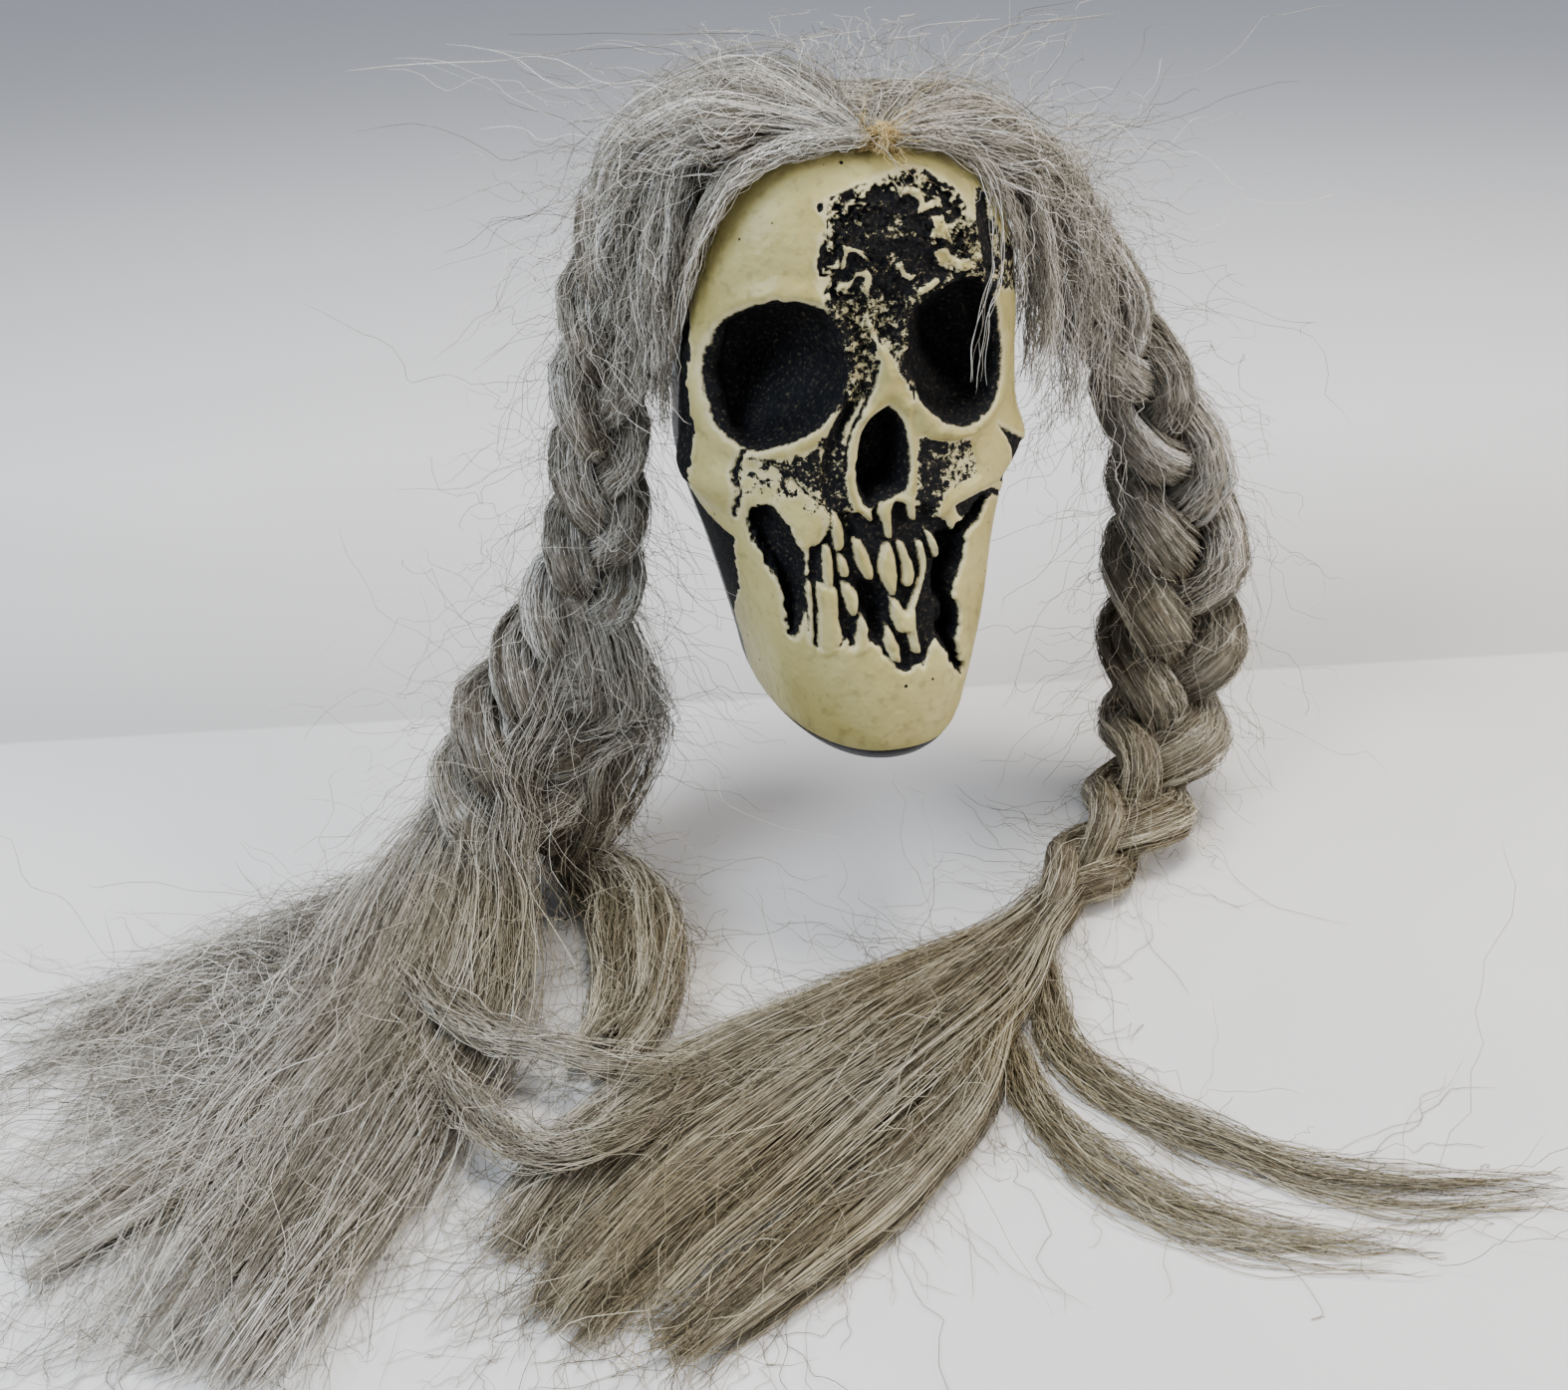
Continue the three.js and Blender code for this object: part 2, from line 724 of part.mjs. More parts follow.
function addCrown(headCutter) {
  const glue = {
    points: glueShares.map(spot),
    width: glueWidth,
    thickness: glueThickness * 2,
    widthShares: [1, 1],
    thicknessShares: [1, 1],
    firstSide: new THREE.Vector3(1, 0, 0),
    steps: glueSteps,
  };
  const knot = {
    points: knotShares.map(([back, up], index) => {
      const point = spot([0, back, up]);
      point.x = (index - 1) * (knotLength / 2);
      return point;
    }),
    width: knotDiameter,
    thickness: knotDiameter,
    widthShares: knotSizeShares,
    thicknessShares: knotSizeShares,
    firstSide: new THREE.Vector3(0, 1, 0),
    steps: glueSteps,
  };
  addPiece('glue_bead', trim(lockForm(glue, 0), [headCutter, lockForm(knot, gap)]), finish('#b59a55', 0.5));
  addPiece('parting_knot', trim(lockForm(knot, 0), [headCutter]), finish('#cdb98c', 0.7));
  for (const side of ['left', 'right']) {
    const crown = crownLock(side);
    const cutters = [headCutter, lockForm(glue, gap), lockForm(knot, gap), partingBlock(side)];
    addPiece(`crown_hair_${side}`, trim(lockForm(crown, 0), cutters), hairFinish('#b9b2a6'));
    const loose = trim(lockForm(templeLock(side), 0), [headCutter, lockForm(crown, gap)]);
    addPiece(`temple_lock_${side}`, loose, hairFinish('#b3aa9b'));
  }
}

// Locks lie against each other, so each is trimmed by all that were laid before it
const laid = [];

function addBraid(side) {
  for (let index = 0; index < 3; index += 1) {
    addPiece(`${side}_braid_strand_${index + 1}`, strandForm(braids[side], index, 0), hairFinish('#aaa193'));
    laid.push(strandForm(braids[side], index, gap));
  }
}

function addLocks(side, locks) {
  for (const [name, shape] of Object.entries(locks)) {
    const lock = lyingLock(shape);
    addPiece(`${side}_${name}`, trim(lockForm(lock, 0), laid), hairFinish('#a89a80'));
    laid.push(lockForm(lock, gap));
  }
}

function hairFinish(color) {
  return finish(color, 0.38);
}

addShells();
addCrown(solidOf(headForm(insideFaceColumns, backColumns, insideRows, 2 * gap, raisedOnly)));
addBraid('left');
addBraid('right');
addLocks('left', leftLocks);
addLocks('right', rightLocks);
addLocks('left', leftArcs);

export default part;
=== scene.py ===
"""A hollow skull decoration with a painted face, a black rear shell and long braided hair.

Lengths are millimetres until a mesh is made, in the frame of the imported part: +Z up, -Y the way the
face looks, the origin at the centre of the neck opening in the flat base.
"""

import math

import bpy
import numpy as np
from mathutils import Matrix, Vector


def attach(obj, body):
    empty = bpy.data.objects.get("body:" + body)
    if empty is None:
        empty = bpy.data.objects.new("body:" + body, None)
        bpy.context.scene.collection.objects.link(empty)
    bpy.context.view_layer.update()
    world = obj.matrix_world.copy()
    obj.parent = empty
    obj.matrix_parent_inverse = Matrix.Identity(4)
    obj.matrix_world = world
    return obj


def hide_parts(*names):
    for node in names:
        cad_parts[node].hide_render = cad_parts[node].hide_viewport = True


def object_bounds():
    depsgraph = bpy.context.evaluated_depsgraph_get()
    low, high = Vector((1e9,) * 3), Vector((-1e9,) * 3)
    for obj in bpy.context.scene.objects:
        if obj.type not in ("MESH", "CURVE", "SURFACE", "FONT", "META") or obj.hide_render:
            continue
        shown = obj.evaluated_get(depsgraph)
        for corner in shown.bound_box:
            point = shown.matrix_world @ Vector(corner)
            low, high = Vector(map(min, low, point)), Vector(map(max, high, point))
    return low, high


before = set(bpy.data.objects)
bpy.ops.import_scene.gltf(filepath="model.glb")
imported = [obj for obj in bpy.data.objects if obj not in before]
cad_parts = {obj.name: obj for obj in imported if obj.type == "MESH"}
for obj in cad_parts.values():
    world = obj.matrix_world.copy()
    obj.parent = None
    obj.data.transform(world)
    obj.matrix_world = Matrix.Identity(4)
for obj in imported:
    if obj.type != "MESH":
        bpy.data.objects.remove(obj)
cad_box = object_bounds()

MM = 0.001
SEED = 41
LYING_SEED = 200

# Head
HEAD_HEIGHT = 176.0
HEAD_WIDTH = 104.0
FRONT_REACH = 76.0
REAR_REACH = 50.0
AXIS_SETBACK = 10.0
WALL = 3.0
NECK_BORE = 36.0
SEAM_SETBACK = 14.0
LIP_HEIGHT = 5.0
SEAM_GAP = 0.3
STAND_HEIGHT = 74.0
HEAD_DEPTH = FRONT_REACH + REAR_REACH
HALF_WIDTH = HEAD_WIDTH / 2
TABLE_LEVEL = -STAND_HEIGHT

# Height, half width, front and rear as shares of the head's sizes, and how square the outline is
HEAD_ROW_SHARES = [
    (0, 0.51, 0.92, 0.5, 2.2),
    (0.023, 0.565, 0.97, 0.54, 2.3),
    (0.057, 0.605, 0.995, 0.58, 2.4),
    (0.102, 0.635, 1, 0.62, 2.5),
    (0.16, 0.68, 0.99, 0.68, 2.6),
    (0.227, 0.735, 0.955, 0.76, 2.7),
    (0.307, 0.805, 0.905, 0.84, 2.7),
    (0.386, 0.885, 0.849, 0.92, 2.7),
    (0.466, 0.94, 0.796, 0.97, 2.7),
    (0.545, 0.93, 0.763, 1, 2.7),
    (0.625, 0.905, 0.743, 1, 2.7),
    (0.705, 0.905, 0.75, 0.98, 2.7),
    (0.778, 0.895, 0.763, 0.93, 2.7),
    (0.847, 0.855, 0.743, 0.84, 2.6),
    (0.903, 0.78, 0.69, 0.71, 2.5),
    (0.949, 0.655, 0.6, 0.54, 2.4),
    (0.98, 0.48, 0.474, 0.32, 2.2),
    (0.996, 0.26, 0.31, 0.06, 2.1),
    (1, 0, 0.13, -0.2, 2),
]

# The photograph's camera
PHOTO_WIDTH = 1574
PHOTO_HEIGHT = 1395
FOCAL_PX = 1545
CAMERA_AZIMUTH = -14.0
CAMERA_PITCH = 28.6
CAMERA_ROLL = 2.0
CAMERA_PLACE = (-126.6, -441.7, 235.4)
SENSOR_WIDTH = 36.0
SIGHT_NEAR = 300.0
SIGHT_FAR = 480.0
SIGHT_HALVINGS = 40
CLIP_START_M = 0.01
CLIP_END_M = 20

# Outlines on the face, in pixels of the photograph
SOCKETS_PX = [
    [
        (714, 372), (722, 332), (750, 308), (790, 300), (826, 310), (848, 345),
        (849, 385), (826, 426), (790, 446), (755, 449), (728, 428),
    ],
    [
        (907, 350), (918, 310), (945, 288), (972, 279), (990, 292), (1000, 335),
        (998, 385), (986, 415), (962, 426), (932, 414), (912, 380),
    ],
]
NOSE_PX = [
    (892, 407), (877, 416), (866, 432), (860, 458), (859, 484), (865, 503), (876, 512),
    (886, 503), (900, 497), (910, 490), (913, 466), (911, 440), (905, 420),
]
HOLLOWS_PX = [
    [
        (748, 512), (772, 508), (794, 530), (807, 565), (811, 600), (807, 628),
        (799, 641), (789, 632), (788, 604), (776, 575), (758, 545),
    ],
    [
        (943, 541), (955, 533), (975, 512), (990, 499), (984, 520), (971, 535), (968, 562), (957, 590),
        (963, 620), (961, 646), (966, 672), (962, 676), (951, 654), (942, 640), (944, 615), (937, 592),
        (940, 565),
    ],
]
MOUTH_PX = [
    (860, 583), (870, 584), (885, 592), (893, 606), (892, 622),
    (886, 640), (880, 648), (873, 640), (868, 625), (862, 606),
]
TEETH_PX = [
    (812, 556), (822, 546), (833, 528), (846, 516), (862, 520), (884, 506), (905, 503), (925, 508),
    (942, 520), (957, 538), (952, 590), (958, 640), (966, 676), (950, 658), (934, 645), (929, 664),
    (906, 673), (889, 660), (878, 648), (862, 648), (846, 647), (832, 650), (817, 648), (811, 600),
]
PATCH_PX = [
    (824, 205), (852, 190), (885, 179), (918, 168), (947, 183), (968, 205), (981, 236), (992, 258),
    (1000, 272), (990, 300), (960, 310), (925, 330), (918, 380), (914, 400), (905, 378), (894, 352),
    (886, 345), (880, 352), (874, 380), (862, 406), (845, 432), (840, 420), (846, 345), (828, 306),
    (820, 268), (826, 238),
]
VALLEY_PX = [
    (868, 392), (857, 415), (846, 437), (844, 470), (850, 500), (858, 522), (862, 540), (852, 543),
    (840, 522), (828, 508), (824, 478), (828, 452), (834, 430), (850, 404),
]
GROOVE_PX = [(881, 362), (876, 385), (867, 407), (856, 428), (850, 451), (848, 475)]
CRACK_SHAPES_PX = [
    [(1000, 424), (1006, 440), (1008, 462), (1003, 482), (1012, 478), (1016, 462), (1012, 440)],
    [(984, 194), (980, 222), (985, 250), (990, 272), (1000, 276), (1000, 256), (993, 230), (991, 202)],
    [(958, 508), (984, 494), (1012, 484), (986, 504), (966, 520)],
]

NOSE_BONE_PX = [
    (870, 310), (877, 324), (883, 342), (891, 354), (900, 371), (908, 391), (913, 408), (905, 413),
    (892, 404), (881, 413), (867, 424), (863, 417), (872, 400), (879, 382), (881, 362), (876, 342),
    (869, 326),
]

# Cream shapes that stand on the black of the forehead, the nose, the teeth and the right cheek
CREAM_SHAPES_PX = [
    [(934, 218), (948, 216), (951, 225), (961, 224), (954, 231), (959, 245), (949, 240), (933, 239),
     (938, 228)],
    [(935, 251), (953, 249), (956, 257), (966, 259), (977, 266), (966, 273), (956, 266), (946, 268),
     (940, 260)],
    [(898, 267), (907, 261), (910, 270), (916, 276), (926, 274), (918, 282), (908, 280), (903, 270)],
    [(918, 290), (930, 284), (939, 278), (943, 281), (932, 291), (921, 296)],
    [(842, 285), (853, 285), (860, 275), (872, 272), (878, 281), (872, 294), (865, 290), (869, 281),
     (861, 280), (854, 291), (843, 291)],
    [(901, 190), (915, 188), (928, 193), (931, 203), (942, 199), (946, 205), (932, 213), (921, 216),
     (923, 201), (912, 195)],
    [(841, 240), (846, 246), (856, 248), (866, 251), (874, 262), (868, 262), (860, 256), (852, 258),
     (851, 270), (845, 270), (846, 254)],
    [(866, 402), (874, 412), (864, 434), (859, 458), (858, 484), (864, 503), (875, 514), (876, 526),
     (862, 512), (853, 492), (849, 468), (852, 442), (858, 420)],
    [(905, 398), (911, 406), (915, 430), (920, 466), (918, 497), (921, 520), (914, 522), (909, 494),
     (913, 466), (911, 436)],
    [(884, 500), (898, 498), (896, 519), (897, 540), (891, 541), (887, 527), (882, 516)],
    [(886, 551), (893, 546), (898, 556), (902, 580), (901, 597), (896, 600), (887, 586), (882, 574)],
    [(856, 543), (865, 544), (876, 566), (878, 579), (873, 583), (861, 567)],
    [(901, 545), (908, 547), (917, 566), (919, 583), (912, 592), (907, 586), (906, 567)],
    [(920, 545), (928, 548), (931, 570), (926, 592), (919, 613), (914, 610), (921, 590), (925, 570)],
    [(893, 601), (903, 607), (911, 615), (919, 604), (922, 640), (926, 656), (917, 657), (913, 638),
     (904, 636), (896, 622)],
    [(891, 628), (898, 638), (904, 652), (905, 666), (896, 662), (888, 645)],
    [(826, 549), (835, 551), (838, 582), (834, 590), (827, 582)],
    [(834, 508), (846, 522), (849, 543), (846, 553), (839, 552), (836, 531)],
    [(841, 555), (850, 562), (854, 577), (849, 582), (843, 576)],
    [(845, 585), (854, 588), (864, 602), (860, 620), (853, 616), (847, 601)],
    [(808, 582), (815, 588), (817, 610), (818, 640), (817, 656), (812, 656), (813, 620)],
    [(820, 586), (833, 588), (842, 596), (843, 622), (846, 640), (838, 656), (824, 656), (822, 620)],
    [(864, 617), (871, 620), (874, 636), (870, 654), (860, 656), (861, 636)],
    [(938, 602), (947, 608), (952, 622), (948, 634), (944, 626), (945, 615)],
    [(928, 530), (937, 540), (946, 553), (940, 563), (934, 548)],
    [(915, 398), (925, 405), (935, 422), (948, 430), (975, 428), (970, 436), (945, 442), (930, 438),
     (922, 426)],
    [(972, 440), (992, 436), (1002, 450), (1004, 474), (990, 489), (966, 500), (952, 512), (944, 518),
     (948, 500), (966, 484), (980, 474)],
]

# Where black shows through in specks, with how much cream is left between them
WORN_PLACES_PX = [
    ([(830, 303), (868, 303), (874, 330), (879, 352), (874, 385), (852, 410), (842, 425), (846, 345)], 0.41),
    ([(868, 300), (925, 300), (918, 330), (908, 352), (916, 385), (902, 368), (892, 350), (880, 338)], 0.4),
    ([(840, 225), (880, 205), (930, 205), (950, 245), (920, 290), (870, 290), (845, 260)], 0.26),
    ([(752, 458), (785, 457), (815, 447), (830, 440), (830, 470), (830, 505), (818, 500), (800, 490),
      (775, 482)], 0.48),
    ([(976, 188), (988, 192), (1002, 225), (1010, 250), (1011, 292), (990, 284), (966, 268), (965, 240),
      (980, 222)], 0.4),
    ([(744, 466), (770, 470), (800, 488), (828, 506), (838, 528), (812, 520), (780, 506), (750, 496)], 0.6),
    ([(920, 436), (945, 436), (960, 446), (958, 478), (946, 504), (938, 522), (924, 522), (918, 490)], 0.35),
    ([(952, 432), (985, 440), (1000, 452), (1002, 474), (978, 482), (954, 497), (954, 460)], 0.52),
    ([(828, 440), (844, 440), (846, 480), (856, 520), (858, 540), (850, 540), (838, 515), (826, 500)], 0.33),
]
CRACK_LINES_PX = [
    ([(750, 450), (741, 473), (745, 494), (737, 517)], 0.5),
    ([(758, 457), (775, 467), (800, 486), (826, 508)], 0.45),
    (GROOVE_PX, 0.35),
]

# How far coarse and fine noise move an edge across, and sway and fine noise move it up, for each mark
ROUGH_EDGE = (0.7, 0.3, 0.7, 0)
CRACK_EDGE = (0, 0.5, 0.5, 0)
FACE_MARKS = {
    "socket": (SOCKETS_PX, ROUGH_EDGE),
    "nose": ([NOSE_PX], (0, 0.3, 0, 0)),
    "bone": ([NOSE_BONE_PX], (0, 0, 0, 0)),
    "hollow": (HOLLOWS_PX, (0.7, 0.8, 0.7, 0)),
    "mouth": ([MOUTH_PX], ROUGH_EDGE),
    "teeth": ([TEETH_PX], (1.2, 0, 0, 2.0)),
    "patch": ([PATCH_PX], (0.7, 1.5, 0.7, 0)),
    "valley": ([VALLEY_PX], (0, 0.4, 0, 0)),
    "shape": (CREAM_SHAPES_PX, (0, 0.3, 0.5, 0)),
    "crack": (CRACK_SHAPES_PX, (0, 0.5, 0, 0)),
}

# Where the cream paint ends at the side of the face, from the temple down to the jaw
PAINT_EDGE_PX = [
    (706, 346), (702, 379), (704, 420), (706, 462), (702, 487), (723, 528), (738, 541), (740, 565),
    (746, 600), (753, 635),
]
CHEEKBONE_END = (-46, -12, 71.5)

# How deep each mark is sunk, and how far inside its edge the slope to it starts and ends, negative outside
MARK_DEPTHS = {
    "nose": (13.0, -0.3, 4),
    "hollow": (9.0, -1, 3.5),
    "mouth": (6.0, -0.5, 3.5),
    "teeth": (2.6, -1.5, 2.2),
    "valley": (1.8, -1, 1.2),
    "crack": (1.2, -0.3, 0.8),
    "patch": (1.8, -0.5, 3),
}
SOCKET_DEPTH = 24.0
SHAPE_RISE = 0.9
BONE_RISE = 2.4
RIDGE_RISE = 1.8
PAINT_RISE = 0.2
PAINT_REACH = 3.0
GRAIN_RISE = 0.15
OUTLINE_REACH = 24.0

# Rise, level and half height of the orbit, the arch and the cheek, and how far out each starts and is full
SIDE_FORMS = [(3.2, 114.0, 26, 36, 46), (4.0, 82.0, 9, 32, 46), (-3.0, 58.0, 14, 30, 42)]

# Between which levels the paint's own edge gives way to the seam, above and below
EDGE_LEVELS_ABOVE = (122, 145)
EDGE_LEVELS_BELOW = (50, 22)

# Grids of the shells
FACE_GRID = (268, 360)
FACE_TOP = 0.9965
EDGE_SPREAD = 0.14
REAR_GRID = (180, 150)
DOME_ROWS = 30
DOME_LEVEL = 0.97
INSIDE_SHARES = (0.8, 0.4, 1)

# The table, with pale paper laid over its front part
PAPER_EDGE = 108.0
PAPER_SLOPE = 0.197
PAPER_SHARPNESS = 400
FLOOR_REACH = 9000
FLOOR_DROP = 0.4
FLOOR_LINES = 61

# Hair
HAIR_RADIUS = 0.12
FINE_RADIUS = 0.085
BOX_SPARE = 7.0
FACE_ROOM = ((-47, -140, 58), (19, -22, 157))
LOCK_STEPS = 240
STRAND_SIZE = 10.4
STRAND_REACH = 0.62
STRAND_RISE = 0.6
STRAND_BULGE = 0.3
WEAVE_REACH = 1.1
WEAVE_RISE = 0.8
BRAID_TURNS = 3
CROWN_TILT = 0.3
HANK_END_BEFORE = 11
HANK_END_PAST = 4
LYING_SINK = 0.8
CLUMP_TONE = 0.68
FIBRE_TONE = 0.32
TUBE_SIDES = 3
TIP_TAPER = 0.7
TIP_SHARPNESS = 14
ROOT_TAPER = 0.025
TABLE_CLEARANCE = 0.05

# Width and thickness of the locks on the table
TAIL_SIZE = (40.0, 15.0)
CURL_SIZE = (27.0, 24.0)
WISP_SIZE = (6.0, 4.0)

# Hair routes as shares: across the head's width, along its depth, up its height or down the drop
LEFT_BRAID = [
    (-0.548, -0.04, 0.852), (-0.62, -0.04, 0.733), (-0.66, -0.032, 0.585), (-0.688, -0.024, 0.432),
    (-0.72, -0.016, 0.3), (-0.808, 0, 0.153), (-0.915, -0.01, 0.011), (-1, -0.024, -0.243),
    (-1.058, -0.04, -0.51), (-1.096, -0.063, -0.66),
]
RIGHT_BRAID = [
    (0.702, -0.04, 0.79), (0.846, -0.04, 0.636), (1.02, -0.032, 0.46), (1.144, -0.024, 0.295),
    (1.192, -0.016, 0.125), (1.192, -0.024, -0.08), (1.163, -0.063, -0.39), (1.096, -0.143, -0.61),
    (0.99, -0.246, -0.74), (0.846, -0.357, -0.82), (0.654, -0.468, -0.87), (0.452, -0.587, -0.92),
]
LEFT_BRAID_SIZES = [0.78, 0.75, 0.74, 0.76, 0.85, 1, 1.2, 1.3, 1.2]
RIGHT_BRAID_SIZES = [0.75, 0.75, 0.85, 1.1, 1.3, 1.3, 1.15, 0.95, 0.7, 0.42]
LEFT_TEMPLE = [
    (-0.42, -0.15, 0.95), (-0.47, -0.2, 0.89), (-0.5, -0.22, 0.82),
    (-0.53, -0.2, 0.7), (-0.535, -0.19, 0.6), (-0.54, -0.19, 0.51),
]
RIGHT_TEMPLE = [
    (0.45, -0.24, 0.9), (0.51, -0.25, 0.82), (0.545, -0.25, 0.7), (0.55, -0.24, 0.59), (0.53, -0.24, 0.52),
]
LEFT_BROW = [
    (0, -0.375, 0.975), (-0.12, -0.36, 0.972), (-0.23, -0.34, 0.958), (-0.345, -0.325, 0.922),
    (-0.43, -0.295, 0.84), (-0.475, -0.245, 0.73), (-0.5, -0.21, 0.62),
]
RIGHT_BROW = [
    (0.03, -0.375, 0.975), (0.13, -0.365, 0.968), (0.235, -0.35, 0.948), (0.33, -0.33, 0.905),
    (0.41, -0.3, 0.82), (0.45, -0.26, 0.73), (0.47, -0.22, 0.62),
]
CROSSING_HAIRS = [
    (0.24, -0.39, 0.945), (0.28, -0.42, 0.91), (0.3, -0.445, 0.85), (0.292, -0.465, 0.78),
    (0.256, -0.475, 0.71), (0.24, -0.475, 0.61), (0.243, -0.465, 0.54),
]
LEFT_VEIL = [
    (-0.42, -0.1, 0.97), (-0.5, -0.13, 0.88), (-0.56, -0.13, 0.77), (-0.6, -0.1, 0.66), (-0.62, -0.06, 0.52),
]
RIGHT_VEIL = [
    (0.56, -0.16, 0.9), (0.64, -0.17, 0.8), (0.7, -0.16, 0.68), (0.74, -0.14, 0.56), (0.76, -0.12, 0.44),
]
LEFT_HANK = [
    (-0.01, -0.34, 0.962), (-0.07, -0.27, 0.98), (-0.16, -0.18, 0.988), (-0.28, -0.11, 0.982),
    (-0.41, -0.07, 0.955),
]
RIGHT_HANK = [
    (0.03, -0.34, 0.962), (0.1, -0.27, 0.97), (0.2, -0.19, 0.962), (0.34, -0.13, 0.942),
    (0.47, -0.09, 0.905), (0.59, -0.05, 0.86),
]
PARTING = [
    (-0.34, -0.1, 0.995), (-0.14, -0.13, 1.004), (0.03, -0.15, 1.004), (0.18, -0.14, 0.998),
    (0.38, -0.1, 0.975),
]
HANK_REACH = [3.5, 9, 18, 27, 29, 25, 18, 13, 11]
HANK_RISE = [2.5, 4.5, 8, 11.5, 12.5, 12, 11.5, 11, 10.5]
HANK_HAIR = dict(count=1200, wave=0.8, starts=(0, 0.03), ends=(0.92, 1), tresses=52, curl=0.16)
RIGHT_FULLNESS = 0.85
PARTING_REACH = [22, 20, 18, 20, 22]
PARTING_RISE = [5, 3, 2.4, 3, 5]
TEMPLE_REACH = [6.8, 7.2, 7.4, 7, 5.5]
TEMPLE_RISE = [4.2, 4.2, 4.2, 4, 3]
BROW_REACH = [2.5, 4, 5.5, 7.5, 8, 7, 5]
BROW_RISE = [1.4, 1.8, 2, 2, 2, 2, 1.6]
CROSSING_REACH = [2, 5, 5]
CROSSING_RISE = [1, 1.5, 2]
VEIL_REACH = [9, 11, 11, 10, 9]
VEIL_RISE = [4, 6, 7, 7, 6]

# The knot's course across the hank, and the thread wound over it from the front
KNOT_COURSE = [(-4, -47, 169.2), (0, -46.4, 171.2), (4, -46.4, 171.5), (8, -46.6, 169.8)]
KNOT_SIZE = 2.4
KNOT_SIZE_SHARES = [0.3, 0.85, 1, 0.85, 0.3]
KNOT_WRAP = [(2.4, -49.4, 167.8), (2.4, -48.2, 172.4), (2, -44.4, 174.2)]
KNOT_WRAP_REACH = [2.6, 3.2, 3.4]
KNOT_WRAP_RISE = [1, 1.2, 1]

# Colours as linear red, green and blue, each at its place in the noise or tone that picks it
CREAM_COLOURS = [
    (0.3, (0.33, 0.283, 0.117)), (0.48, (0.4, 0.352, 0.16)),
    (0.62, (0.45, 0.402, 0.193)), (0.75, (0.5, 0.458, 0.25)),
]
RIM_COLOUR = (0.66, 0.62, 0.46, 1)
BLACK_COLOURS = [
    (0.46, (0.005, 0.0055, 0.008)), (0.57, (0.014, 0.0135, 0.013)), (0.69, (0.1, 0.083, 0.058)),
]
SHELL_COLOURS = [(0.35, (0.008, 0.009, 0.011)), (0.7, (0.022, 0.023, 0.027))]
SILVER_COLOURS = [
    (0.0, (0.12, 0.1, 0.075)), (0.3, (0.29, 0.265, 0.22)),
    (0.65, (0.6, 0.575, 0.515)), (1.0, (0.95, 0.94, 0.92)),
]
ASH_COLOURS = [
    (0.0, (0.07, 0.052, 0.028)), (0.3, (0.2, 0.165, 0.105)),
    (0.65, (0.36, 0.308, 0.2)), (1.0, (0.68, 0.62, 0.475)),
]
KNOT_COLOURS = [(0.0, (0.3, 0.2, 0.08)), (0.5, (0.6, 0.48, 0.25)), (1.0, (0.85, 0.76, 0.52))]
GLUE_COLOURS = [(0.35, (0.42, 0.3, 0.12)), (0.7, (0.66, 0.53, 0.28))]
PAPER_COLOURS = [(0.3, (0.66, 0.65, 0.64)), (0.7, (0.72, 0.71, 0.7))]
# The table's greys are darkest just past the paper's edge and lighten farther off: painted shade standing in
# for a wall behind the part
TABLE_WALL_SHADE_COLOURS = [(0.03, (0.53, 0.52, 0.51)), (0.35, (0.8, 0.795, 0.79)), (1.0, (0.9, 0.9, 0.9))]

# Where each measure fades from one look to the next, and how far grain reaches on clean and on worn paint
PAINT_FADE = (0.47, 0.53)
SPECK_FADE = (0.095, 0.125)
STAIN_FADE = (0.3, 0.46)
RIM_FADE = (0.55, 0.72)
GLOSS_FADE = (0.3, 0.7)
CLEAN_GRAIN = 0.24
WORN_GRAIN = 1.5
SPECKS_PER_METRE = 170

# Darker, warmer hair starts below this level and ends this far left, in metres, with the sharpness of each
# edge
ASH_TOP_M = 0.035
ASH_REACH_M = 0.19
ASH_FALL = 9
ASH_SPREAD = 12

# Name, place and aim in metres, size, power in watts and colour of each light
LIGHTS = [
    ("window", (-1.1, -0.5, 0.9), (0, 0, 0.03), 0.8, 18, (0.8, 0.89, 1)),
    ("overhead", (0.2, -0.1, 1.4), (0, 0, 0), 0.5, 15, (1, 0.96, 0.9)),
    ("warm_fill", (1.1, -0.7, 0.6), (0, 0, 0.03), 0.6, 12, (1, 0.92, 0.82)),
]
SKY_COLOUR = (0.86, 0.9, 1, 1)
SKY_STRENGTH = 0.37

